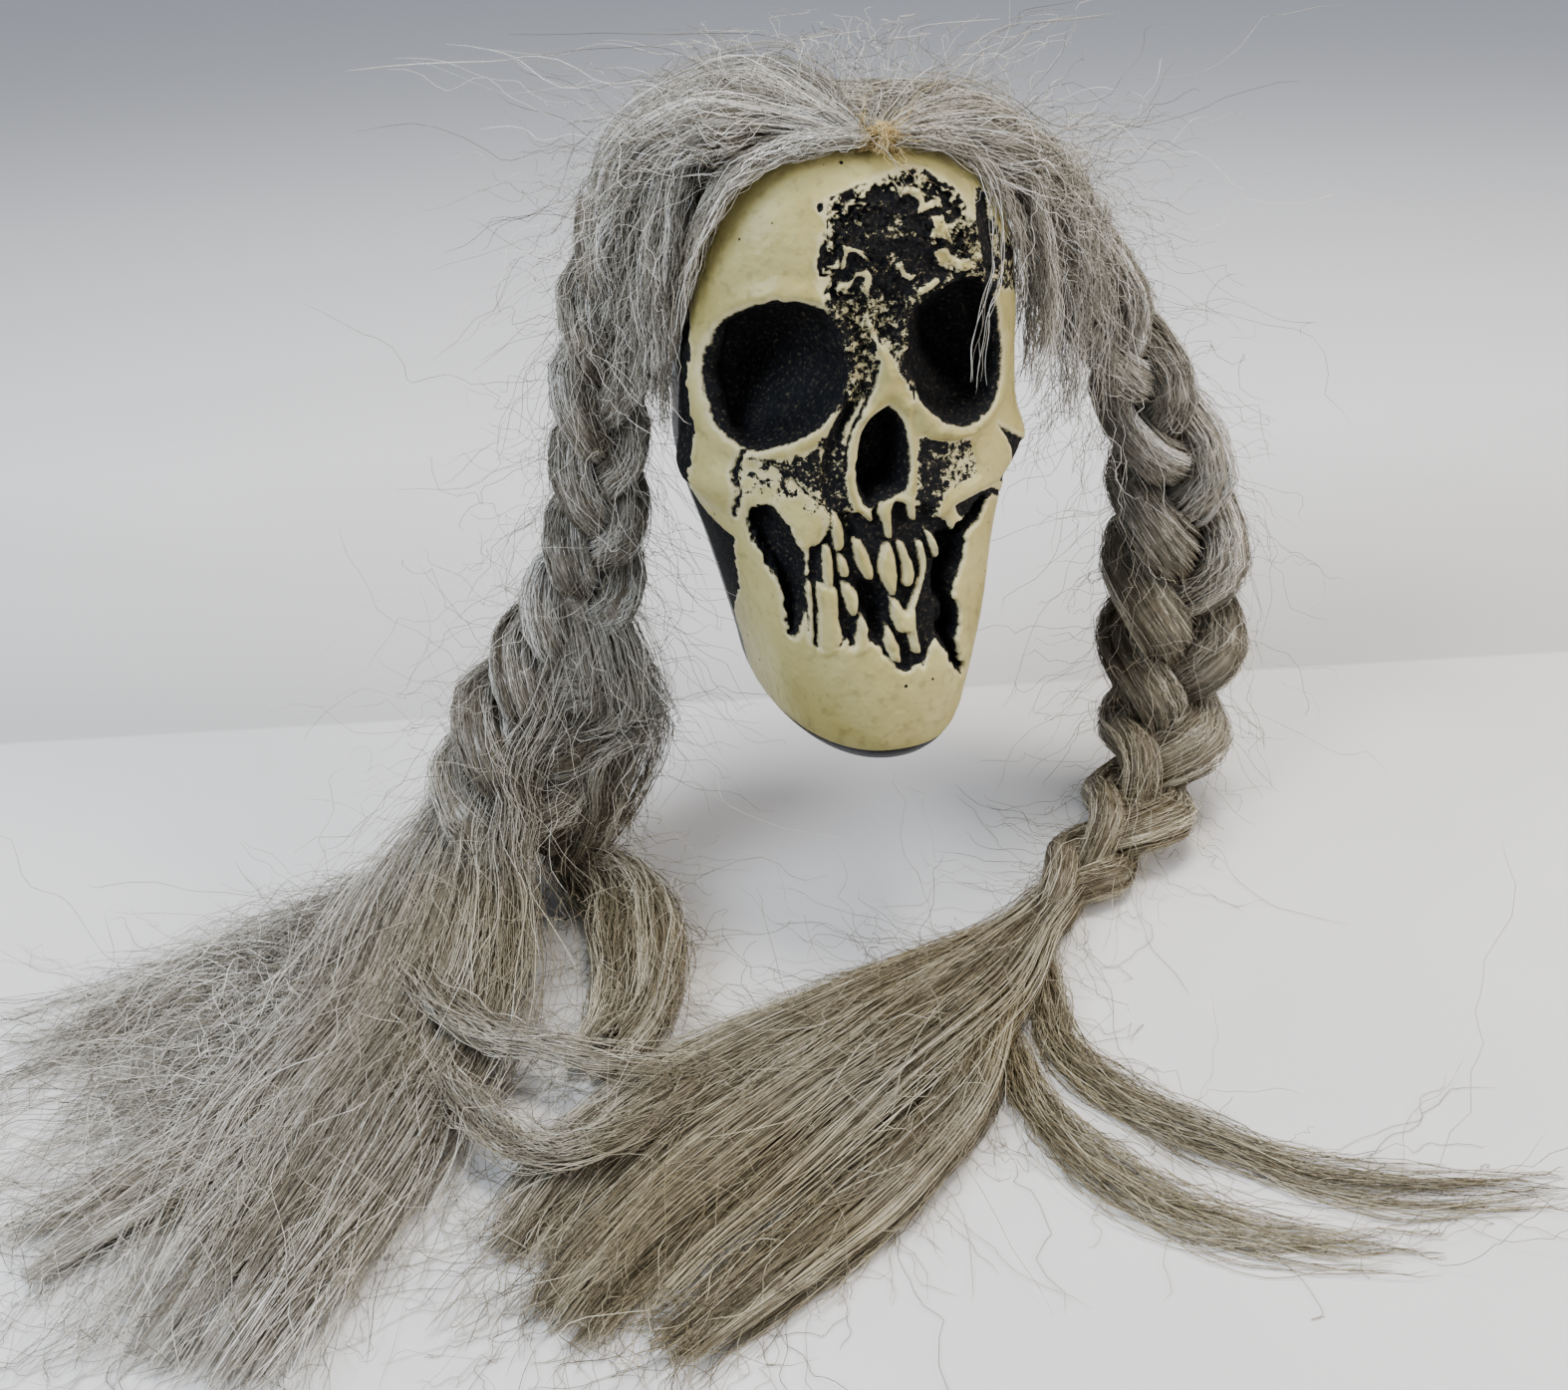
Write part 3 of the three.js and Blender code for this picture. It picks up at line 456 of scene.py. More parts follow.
# Locks on the table: size, route, shares of the width and of the thickness along it, and the hair
LYING_LOCKS = [
    ("left_tail_main", TAIL_SIZE,
     [(-1.1, -0.05, 0.14), (-1.2, -0.12, 0.04), (-1.33, -0.34), (-1.47, -0.64), (-1.66, -0.92),
      (-1.87, -1.18), (-2.03, -1.38)],
     [0.6, 0.9, 1.1, 1.15, 1.15, 1.15, 1], [1.4, 1.3, 1.1, 1, 0.85, 0.7, 0.5],
     dict(count=1050, core=0.66, wave=0.7, tresses=36, curl=0.16)),
    ("left_curl_lock", CURL_SIZE,
     [(-0.93, -0.02, 0.1), (-0.77, -0.2, 0.02), (-0.76, -0.45), (-0.85, -0.68), (-1, -0.79)],
     [0.5, 0.9, 1, 0.9, 0.5], [0.7, 1, 1, 0.8, 0.4],
     dict(count=950, core=0.6, wave=1.2, tresses=30, ends=(0.75, 1))),
    ("left_tail_side", TAIL_SIZE,
     [(-1.44, -0.24), (-1.65, -0.46), (-1.83, -0.65), (-2.02, -0.8), (-2.23, -0.9), (-2.44, -1)],
     [0.7, 0.8, 0.85, 0.8, 0.75, 0.6], [0.6, 0.75, 0.75, 0.7, 0.55, 0.4],
     dict(count=700, core=0.5, wave=0.8, tresses=24, ends=(0.85, 1), curl=0.16)),
    ("left_tail_fan", TAIL_SIZE,
     [(-1.17, 0.07, 0.08), (-1.44, -0.02), (-1.78, -0.15), (-2.16, -0.29), (-2.52, -0.42)],
     [0.6, 0.95, 1.25, 1.55, 1.7], [0.9, 0.8, 0.6, 0.4, 0.25],
     dict(count=640, wave=6.0, tresses=150, starts=(0, 0.25), ends=(0.3, 1), curl=0.8)),
    ("left_arc_upper", WISP_SIZE,
     [(-1.5, -0.09, 0.2), (-1.43, -0.4, 0.2), (-1.28, -0.67, 0.2), (-1.06, -0.8, 0.2),
      (-0.82, -0.91, 0.19), (-0.65, -0.9, 0.17)],
     [0.7, 1.3, 1.7, 1.9, 1.9, 1.7], [0.5, 1, 1, 1, 1, 0.8],
     dict(count=150, wave=2.4, tresses=70, starts=(0, 0.25), ends=(0.5, 1), curl=0.7)),
    ("left_arc_lower", WISP_SIZE,
     [(-1.41, -0.66, 0.13), (-1.31, -0.91, 0.16), (-1.15, -1.08, 0.17), (-0.95, -1.1, 0.2),
      (-0.71, -0.97, 0.2)],
     [0.7, 1.4, 1.8, 1.9, 1.7], [0.5, 1, 1, 1, 0.8],
     dict(count=140, wave=2.4, tresses=70, starts=(0, 0.25), ends=(0.5, 1), curl=0.7)),
    ("right_tail_upper", TAIL_SIZE,
     [(0.435, -0.6), (0.14, -0.68), (-0.2, -0.77), (-0.58, -0.87), (-0.89, -0.99), (-1.12, -1.13),
      (-1.27, -1.27)],
     [0.3, 0.48, 0.62, 0.72, 0.78, 0.76, 0.65], [0.7, 0.85, 0.95, 0.9, 0.8, 0.65, 0.45],
     dict(count=950, core=0.6, wave=0.5, tresses=32, curl=0.14)),
    ("right_tail_middle", TAIL_SIZE,
     [(0.36, -0.68), (0.03, -0.85), (-0.38, -1.02), (-0.75, -1.19), (-1.03, -1.34), (-1.2, -1.47)],
     [0.35, 0.55, 0.7, 0.74, 0.72, 0.6], [0.6, 0.85, 0.9, 0.8, 0.65, 0.45],
     dict(count=950, core=0.6, wave=0.5, tresses=32, curl=0.14)),
    ("right_tail_lower", TAIL_SIZE,
     [(0.31, -0.72), (0.17, -0.88), (-0.05, -1.13), (-0.35, -1.32), (-0.67, -1.46), (-0.97, -1.58)],
     [0.25, 0.36, 0.48, 0.55, 0.55, 0.48], [0.5, 0.7, 0.8, 0.75, 0.6, 0.4],
     dict(count=700, core=0.55, wave=0.5, tresses=24, curl=0.14)),
    ("right_wisp_upper", WISP_SIZE,
     [(0.43, -0.66), (0.36, -0.83), (0.31, -1.02), (0.42, -1.25), (0.65, -1.47), (0.94, -1.6),
      (1.3, -1.69)],
     [1, 1.5, 2.1, 2.6, 2.6, 2.3, 1.6], [1, 1, 1, 0.9, 0.8, 0.7, 0.5],
     dict(count=180, wave=3.0, tresses=80, ends=(0.4, 1), curl=0.8)),
    ("right_wisp_lower", WISP_SIZE,
     [(0.18, -0.92), (0.15, -1.2), (0.29, -1.47), (0.51, -1.63), (0.89, -1.76)],
     [1, 1.8, 2.3, 2.4, 1.8], [1, 1, 0.9, 0.7, 0.5],
     dict(count=140, wave=3.0, tresses=70, ends=(0.4, 1), curl=0.9)),
]

# Loose hair that fills the room among them
LOOSE_MASSES = [
    ("left_mass", TAIL_SIZE,
     [(-0.84, -0.02, 1.2), (-0.96, -0.04, 0.85), (-1.1, -0.06, 0.5), (-1.28, -0.18, 0.2), (-1.48, -0.5),
      (-1.68, -0.8), (-1.88, -1.1), (-2.05, -1.4)],
     [0.6, 0.9, 1.3, 1.8, 2, 2, 1.8, 1.5], [1.3, 1.6, 1.6, 1.5, 1.3, 1, 0.8, 0.6],
     dict(count=980, core=0.5, wave=1.6, tresses=60, starts=(0, 0.25), ends=(0.6, 1), curl=0.2)),
    ("left_haze", TAIL_SIZE,
     [(-1.3, -0.05, 0.12), (-1.6, -0.24, 0.03), (-1.95, -0.46), (-2.3, -0.66), (-2.6, -0.82)],
     [0.7, 1.3, 1.8, 2.2, 2.4], [0.8, 0.6, 0.4, 0.3, 0.2],
     dict(count=520, wave=6.5, tresses=150, starts=(0, 0.35), ends=(0.35, 1), curl=0.9)),
    ("left_bulge", TAIL_SIZE,
     [(-0.8, -0.01, 1.45), (-0.75, -0.02, 1.1), (-0.72, -0.03, 0.72), (-0.78, -0.03, 0.42),
      (-0.88, -0.04, 0.2), (-0.98, -0.05, 0.05)],
     [0.45, 0.8, 0.9, 0.85, 0.75, 0.5], [1, 1.7, 2, 1.8, 1.4, 1],
     dict(count=800, core=0.7, wave=0.8, tresses=26, starts=(0, 0.1), ends=(0.85, 1), curl=0.2)),
    ("right_mass", TAIL_SIZE,
     [(0.66, -0.465, 0.065), (0.45, -0.588, 0.02), (0.15, -0.78), (-0.2, -0.94), (-0.56, -1.1),
      (-0.88, -1.26), (-1.1, -1.42), (-1.2, -1.54)],
     [0.3, 0.45, 0.95, 1.3, 1.6, 1.7, 1.6, 1.3], [0.7, 0.8, 1.1, 1.1, 1, 0.9, 0.7, 0.5],
     dict(count=860, wave=0.8, tresses=60, starts=(0, 0.12), ends=(0.6, 0.92), curl=0.14)),
]


def hump(value, centre, spread):
    return np.exp(-(((value - centre) / spread) ** 2))


def ramp(value, start, end):
    share = np.clip((value - start) / (end - start), 0, 1)
    return share * share * (3 - 2 * share)


def normalised(vectors):
    return vectors / np.maximum(np.linalg.norm(vectors, axis=-1, keepdims=True), 1e-9)


def blended(rows, place):
    """Rows of a table, joined by a smooth curve, at places from 0 to 1."""
    rows = np.asarray(rows, float)
    at = np.clip(place, 0, 1) * (len(rows) - 1)
    first = np.minimum(np.floor(at).astype(int), len(rows) - 2)
    t = (at - first)[..., None]
    a, b, c, d = (rows[np.clip(first + step, 0, len(rows) - 1)] for step in (-1, 0, 1, 2))
    bend = (2 * a - 5 * b + 4 * c - d) * t**2 + (3 * (b - c) + d - a) * t**3
    return b + ((c - a) * t + bend) / 2


def evenly_placed(values):
    return np.linspace(0, 1, len(values))


def evenly(points, count):
    """Evenly spaced places along a smooth curve through points."""
    fine = blended(points, np.linspace(0, 1, 30 * len(points)))
    steps = np.linalg.norm(np.diff(fine, axis=0), axis=1)
    length = np.concatenate([[0], np.cumsum(steps)])
    even = np.linspace(0, length[-1], count)
    return np.stack([np.interp(even, length, column) for column in fine.T], axis=1)


def cell_noise(points, seed):
    """Smooth noise from 0 to 1 with one value in each unit cell."""
    cell = np.floor(points).astype(np.int64)
    t = points - cell
    t = t**3 * (t * (t * 6 - 15) + 10)
    total = np.zeros(len(points))
    for corner in range(8):
        step = np.array([(corner >> axis) & 1 for axis in range(3)])
        x, y, z = (cell + step).T
        code = (x * 73856093 ^ y * 19349663 ^ z * 83492791 ^ seed * 2654435761) & 0xFFFFFFFF
        code = ((code ^ (code >> 13)) * 1274126177) & 0xFFFFFFFF
        code ^= code >> 16
        total += np.prod(np.where(step, t, 1 - t), axis=1) * (code & 0xFFFF) / 0xFFFF
    return total


def layered_noise(points, size, seed, layers=3):
    """Noise about 0, from about -1 to 1, with finer layers on top of coarser ones."""
    total = 0
    weight = 1.0
    for layer in range(layers):
        total = total + weight * (2 * cell_noise(points / size + 7.3 * layer, seed + layer) - 1)
        size /= 2
        weight /= 2
    return total / 1.3


def new_object(name, data):
    made = bpy.data.objects.new(name, data)
    bpy.context.scene.collection.objects.link(made)
    return made


def aimed(name, data, place, right, up, back):
    """A camera or a light at a place in metres, turned to its own right, up and back directions."""
    made = new_object(name, data)
    turn = Matrix([list(row) for row in np.column_stack([right, up, back])])
    made.matrix_world = Matrix.Translation(place) @ turn.to_4x4()
    return made


def new_mesh(name, points, faces, **values):
    """A smooth mesh object in metres; each further value is one number at each point."""
    mesh = bpy.data.meshes.new(name)
    corners = faces.shape[1]
    mesh.vertices.add(len(points))
    mesh.vertices.foreach_set("co", (points * MM).astype(np.float32).ravel())
    mesh.loops.add(faces.size)
    mesh.loops.foreach_set("vertex_index", faces.astype(np.int32).ravel())
    mesh.polygons.add(len(faces))
    mesh.polygons.foreach_set("loop_start", np.arange(0, faces.size, corners, dtype=np.int32))
    mesh.polygons.foreach_set("use_smooth", np.ones(len(faces), bool))
    mesh.update(calc_edges=True)
    for key, value in values.items():
        attribute = mesh.attributes.new(key, "FLOAT", "POINT")
        attribute.data.foreach_set("value", value.astype(np.float32))
    return new_object(name, mesh)


def grid_faces(rows, columns, closed=False, start=0):
    """Quads over a grid of points laid row by row; a closed grid joins its last column to its first."""
    j, i = np.meshgrid(np.arange(rows - 1), np.arange(columns if closed else columns - 1), indexing="ij")
    following = (i + 1) % columns
    quads = [j * columns + i, j * columns + following, (j + 1) * columns + following, (j + 1) * columns + i]
    return np.stack(quads, axis=-1).reshape(-1, 4) + start


def camera_axes():
    """The camera's right, up and back directions."""
    azimuth, pitch, roll = np.radians([CAMERA_AZIMUTH, CAMERA_PITCH, CAMERA_ROLL])
    back = np.array([
        math.sin(azimuth) * math.cos(pitch),
        -math.cos(azimuth) * math.cos(pitch),
        math.sin(pitch),
    ])
    level = np.array([math.cos(azimuth), math.sin(azimuth), 0.0])
    above = np.cross(back, level)
    right = math.cos(roll) * level - math.sin(roll) * above
    up = math.sin(roll) * level + math.cos(roll) * above
    return right, up, back


def add_camera():
    data = bpy.data.cameras.new("photo_camera")
    data.sensor_fit = "HORIZONTAL"
    data.sensor_width = SENSOR_WIDTH
    data.lens = FOCAL_PX / PHOTO_WIDTH * SENSOR_WIDTH
    data.clip_start = CLIP_START_M
    data.clip_end = CLIP_END_M
    place = np.array(CAMERA_PLACE) * MM
    bpy.context.scene.camera = aimed("photo_camera", data, place, *camera_axes())


def head_surface(turn, level, offset=0.0):
    """Points of the bare head; turn is 0 at the middle of the face, level runs from 0 to 1 up the head."""
    place = np.interp(level, TABLE_OF_LEVELS, TABLE_OF_PLACES)
    _, width, front, rear, squareness = np.moveaxis(blended(HEAD_ROW_SHARES, place), -1, 0)
    facing = np.cos(turn) > 0
    reach = np.where(facing, FRONT_REACH * front - AXIS_SETBACK, REAR_REACH * rear + AXIS_SETBACK)
    edge = np.where(facing, squareness, 2.0)
    across = np.abs(np.sin(turn)) / np.maximum(HALF_WIDTH * width, SEAM_GAP)
    along = np.abs(np.cos(turn)) / np.maximum(reach, SEAM_GAP)
    radius = (1 + offset / HALF_WIDTH) * (across**edge + along**edge) ** (-1 / edge)
    z = HEAD_HEIGHT * (0.5 + (level - 0.5) * (1 + 2 * offset / HEAD_HEIGHT))
    return np.stack([radius * np.sin(turn), -AXIS_SETBACK - radius * np.cos(turn), z], axis=-1)


def seam_turn(level, setback):
    """How far the face reaches round the head at each level, 0 where it has ended."""
    place = np.interp(level, TABLE_OF_LEVELS, TABLE_OF_PLACES)
    _, width, front, _, squareness = np.moveaxis(blended(HEAD_ROW_SHARES, place), -1, 0)
    reach = FRONT_REACH * front - AXIS_SETBACK
    forward = setback - AXIS_SETBACK
    share = np.clip(forward / np.maximum(reach, SEAM_GAP), 0, 1)
    x = HALF_WIDTH * width * (1 - share**squareness) ** (1 / squareness)
    return np.arctan2(x, forward)


# Which place in the table of rows gives which level of the head
TABLE_OF_PLACES = np.linspace(0, 1, 800)
TABLE_OF_LEVELS = blended(HEAD_ROW_SHARES, TABLE_OF_PLACES)[:, 0]


def on_face(pixels):
    """Where lines of sight through pixels of the photograph meet the bare face."""
    right, up, back = camera_axes()
    pixels = np.asarray(pixels, float)
    sight = (
        (pixels[:, :1] - PHOTO_WIDTH / 2) / FOCAL_PX * right
        - (pixels[:, 1:] - PHOTO_HEIGHT / 2) / FOCAL_PX * up
        - back
    )
    eye = np.array(CAMERA_PLACE)
    near = np.full(len(pixels), SIGHT_NEAR)
    far = np.full(len(pixels), SIGHT_FAR)
    for _ in range(SIGHT_HALVINGS):
        middle = (near + far) / 2
        point = eye + sight * middle[:, None]
        turn = np.arctan2(point[:, 0], -AXIS_SETBACK - point[:, 1])
        level = np.clip(point[:, 2] / HEAD_HEIGHT, 0, 0.999)
        surface = head_surface(turn, level)
        reach = np.hypot(surface[:, 0], surface[:, 1] + AXIS_SETBACK)
        inside = np.hypot(point[:, 0], point[:, 1] + AXIS_SETBACK) < reach
        far = np.where(inside, middle, far)
        near = np.where(inside, near, middle)
    return eye + sight * near[:, None]


def stretch_distance(x, z, start, end):
    """Distance from a straight stretch between two places on the face."""
    (ax, az), (bx, bz) = start, end
    length = max((bx - ax) ** 2 + (bz - az) ** 2, 1e-9)
    along = np.clip(((x - ax) * (bx - ax) + (z - az) * (bz - az)) / length, 0, 1)
    return np.hypot(x - ax - along * (bx - ax), z - az - along * (bz - az))


def outline_distance(x, z, pixels):
    """Distance from an outline, in millimetres, negative inside it."""
    rounded = blended(pixels + pixels[:1], np.linspace(0, 1, 3 * len(pixels) + 1))[:-1]
    corners = on_face(rounded)[:, [0, 2]]
    low, high = corners.min(0) - OUTLINE_REACH, corners.max(0) + OUTLINE_REACH
    near = (x > low[0]) & (x < high[0]) & (z > low[1]) & (z < high[1])
    px, pz = x[near], z[near]
    nearest = np.full(px.shape, OUTLINE_REACH)
    inside = np.zeros(px.shape, bool)
    for start, end in zip(corners, np.roll(corners, -1, axis=0)):
        nearest = np.minimum(nearest, stretch_distance(px, pz, start, end))
        rise = end[1] - start[1]
        if rise != 0:
            meets = start[0] + (pz - start[1]) / rise * (end[0] - start[0])
            inside ^= ((start[1] > pz) != (end[1] > pz)) & (px < meets)
    distance = np.full(x.shape, OUTLINE_REACH)
    distance[near] = np.where(inside, -nearest, nearest)
    return distance


def nearest_outline(x, z, outlines):
    return np.min([outline_distance(x, z, pixels) for pixels in outlines], axis=0)


def line_distance(x, z, pixels):
    """Distance from an open line, in millimetres."""
    knots = on_face(blended(pixels, np.linspace(0, 1, 3 * len(pixels))))[:, [0, 2]]
    return np.min([stretch_distance(x, z, start, end) for start, end in zip(knots[:-1], knots[1:])], axis=0)


def paint_limit(z):
    """How far back the cream paint goes at each height."""
    edge = np.concatenate([on_face(PAINT_EDGE_PX), [CHEEKBONE_END]])
    order = np.argsort(edge[:, 2])
    limit = np.interp(z, edge[order, 2], edge[order, 1])
    share = np.maximum(ramp(z, *EDGE_LEVELS_ABOVE), ramp(z, *EDGE_LEVELS_BELOW))
    return limit + (-SEAM_SETBACK - limit) * share


def face_marks(points):
    """Distances from the marks on the face, in millimetres, negative inside them, and their noise."""
    x, _, z = points.T
    coarse = layered_noise(points, size=5.0, seed=3)
    sway = layered_noise(points, size=5.0, seed=9)
    fine = layered_noise(points, size=2.2, seed=21, layers=2)

    def moved(across_coarse, across_fine, up_sway, up_fine):
        return x + across_coarse * coarse + across_fine * fine, z + up_sway * sway + up_fine * fine

    marks = {name: nearest_outline(*moved(*edge), outlines) for name, (outlines, edge) in FACE_MARKS.items()}
    for pixels, half in CRACK_LINES_PX:
        line = line_distance(*moved(*CRACK_EDGE), pixels) - half
        marks["crack"] = np.minimum(marks["crack"], line)

    # Worm-like ridges in the worn patch of the forehead, thickest near its border and at its right
    worms = np.abs(layered_noise(points + 2.5 * fine[:, None], size=3.3, seed=51, layers=2))
    border = 1 - ramp(-marks["patch"], 1.5, 9.0)
    right_side = 0.8 * ramp(x, 10, 24) * ramp(z, 172, 150)
    marks["worm"] = 3 * (0.04 + 0.14 * np.maximum(border, right_side) - worms)
    marks["rough_place"] = moved(*ROUGH_EDGE)
    marks["fine"] = fine
    return marks


def relief(x, z, marks):
    """How far the bare face is sunk at each point."""
    socket = marks["socket"]
    sunk = {name: full * ramp(-marks[name], start, end) for name, (full, start, end) in MARK_DEPTHS.items()}
    depth = SOCKET_DEPTH * (0.4 * ramp(-socket, 0, 4) + 0.6 * ramp(-socket, 0, 18)) + sum(sunk.values())
    depth -= RIDGE_RISE * hump(socket, 1.5, 2.6)
    for rise, level, spread, start, end in SIDE_FORMS:
        depth -= rise * hump(z, level, spread) * ramp(np.abs(x), start, end)
    depth -= sunk["patch"] * ramp(marks["worm"], -0.5, 0.5)
    depth -= (SHAPE_RISE + sunk["teeth"]) * ramp(-marks["shape"], -0.7, 1.3)
    return depth - BONE_RISE * ramp(-marks["bone"], -1.5, 3.5)


def paint_distance(y, z, marks):
    """How far each point lies inside the cream paint, in millimetres, negative outside it."""
    paint = np.minimum(PAINT_REACH, np.maximum(marks["patch"], marks["worm"]))
    paint = np.min([paint, marks["teeth"], marks["valley"]], axis=0)
    paint = np.max([paint, -marks["shape"], -marks["bone"]], axis=0)
    black = [marks[name] for name in ("socket", "nose", "hollow", "mouth", "crack")]
    limit = 0.8 * (paint_limit(z) + 1.2 * marks["fine"] - y)
    return np.min([paint, *black, limit], axis=0)


def rubbed(points, marks, cream):
    """How much cream is left with the worn places rubbed thin, and how worn each point is."""
    worn = np.zeros(len(points))
    blotches = 0.22 * layered_noise(points, size=2.8, seed=91, layers=2)
    kept = [marks[name] for name in ("shape", "crack", "nose", "hollow")]
    untouched = ramp(np.min([*kept, marks["bone"] + 0.4, 2 * marks["socket"]], axis=0), -0.6, 0.3)
    for outline, level in WORN_PLACES_PX:
        share = ramp(-outline_distance(*marks["rough_place"], outline), -2.5, 2.5) * untouched
        cream = cream * (1 - share) + (level + blotches) * share
        worn = np.maximum(worn, share)
    return cream, worn


def face_detail(points):
    """How far the face is sunk at each point, how much cream it carries and how worn that is."""
    x, y, z = points.T
    marks = face_marks(points)
    paint = paint_distance(y, z, marks)
    cream, worn = rubbed(points, marks, 0.5 + np.clip(paint / PAINT_REACH, -1, 1) / 2)
    depth = relief(x, z, marks) - PAINT_RISE * ramp(paint, -0.3, 0.3) - GRAIN_RISE * marks["fine"]
    fade = ramp(np.cos(np.arctan2(x, -AXIS_SETBACK - y)), 0.05, 0.35) * ramp(z / HEAD_HEIGHT, 1, 0.965)
    return depth * fade, cream, worn


def head_levels(low, high, count):
    """Levels spaced evenly along the profile of the face between two heights."""
    level = np.linspace(low, high, 600)
    profile = head_surface(np.zeros_like(level), level)
    length = np.concatenate([[0], np.cumsum(np.linalg.norm(np.diff(profile, axis=0), axis=1))])
    return np.interp(np.linspace(0, length[-1], count), length, level)


def add_face():
    columns, rows = FACE_GRID
    level = head_levels((LIP_HEIGHT + SEAM_GAP) / HEAD_HEIGHT, FACE_TOP, rows)
    reach = seam_turn(level, SEAM_SETBACK + SEAM_GAP)
    share = np.linspace(-1, 1, columns)
    turn = reach[:, None] * share * (1 - EDGE_SPREAD + EDGE_SPREAD * share**2)
    bare = head_surface(turn, level[:, None] * np.ones(columns)).reshape(-1, 3)
    depth, cream, worn = face_detail(bare)
    out = normalised(bare * (1, 1, 0) + (0, AXIS_SETBACK, 0))
    points = bare - out * np.minimum(depth, 0)[:, None]
    points[:, 1] += np.maximum(depth, 0)

    # The wall's thickness shows along the seam and under the chin, and carries no paint
    grid = points.reshape(rows, columns, 3)
    inward = normalised((np.array((0, -AXIS_SETBACK, 0)) - grid[:1]) * (1, 1, 0)) * WALL
    grid = np.concatenate([grid[:1] + inward, grid], axis=0)
    edge = np.array((WALL, 0, 0))
    grid = np.concatenate([grid[:, :1] + edge, grid, grid[:, -1:] - edge], axis=1)
    cream, worn = (np.pad(value.reshape(rows, columns), ((1, 0), (1, 1))).ravel() for value in (cream, worn))
    face = new_mesh("face", grid.reshape(-1, 3), grid_faces(rows + 1, columns + 2), cream=cream, worn=worn)
    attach(face, "root")
    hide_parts("face_shell")
    face.data.materials.append(bone_material())


def around_head(turn, level, offset=0.0):
    """Rings of the bare head, one for each level."""
    return head_surface(turn + 0 * level[:, None], level[:, None] + 0 * turn, offset)


def add_rear():
    columns, rows = REAR_GRID
    level = np.concatenate([
        np.linspace(LIP_HEIGHT / HEAD_HEIGHT, DOME_LEVEL, rows - DOME_ROWS),
        DOME_LEVEL + (1 - DOME_LEVEL) * np.sin(np.linspace(0.05, 1, DOME_ROWS) * math.pi / 2),
    ])
    start = seam_turn(level, SEAM_SETBACK)[:, None]
    back = around_head(start + 2 * (math.pi - start) * np.linspace(0, 1, columns), level)
    edge = np.array((WALL, 0, 0))
    back = np.concatenate([back[:, :1] - edge, back, back[:, -1:] + edge], axis=1)

    # The lip under the chin, the floor, the wall of the neck opening and the inside
    around = np.linspace(0, 2 * math.pi, columns, endpoint=False)
    lip = around_head(around, np.linspace(1, 0, 8) * LIP_HEIGHT / HEAD_HEIGHT)
    ledge = lip[:1] - normalised(lip[:1] * (1, 1, 0) + (0, AXIS_SETBACK, 0)) * WALL
    bore = np.stack([np.sin(around), -np.cos(around), 0 * around], axis=1)[None] * NECK_BORE / 2
    inside = around_head(around, np.linspace(0.02, 0.98, 40), -WALL) * INSIDE_SHARES + (0, WALL, 0)
    ring = np.concatenate([ledge, lip, bore, bore + (0, 0, WALL), inside], axis=0)
    points = np.concatenate([back.reshape(-1, 3), ring.reshape(-1, 3)])
    faces = np.concatenate([
        grid_faces(back.shape[0], back.shape[1]),
        grid_faces(ring.shape[0], columns, closed=True, start=back.shape[0] * back.shape[1]),
    ])
    rear = new_mesh("rear", points, faces)
    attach(rear, "root")
    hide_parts("rear_shell")
    rear.data.materials.append(shell_material())


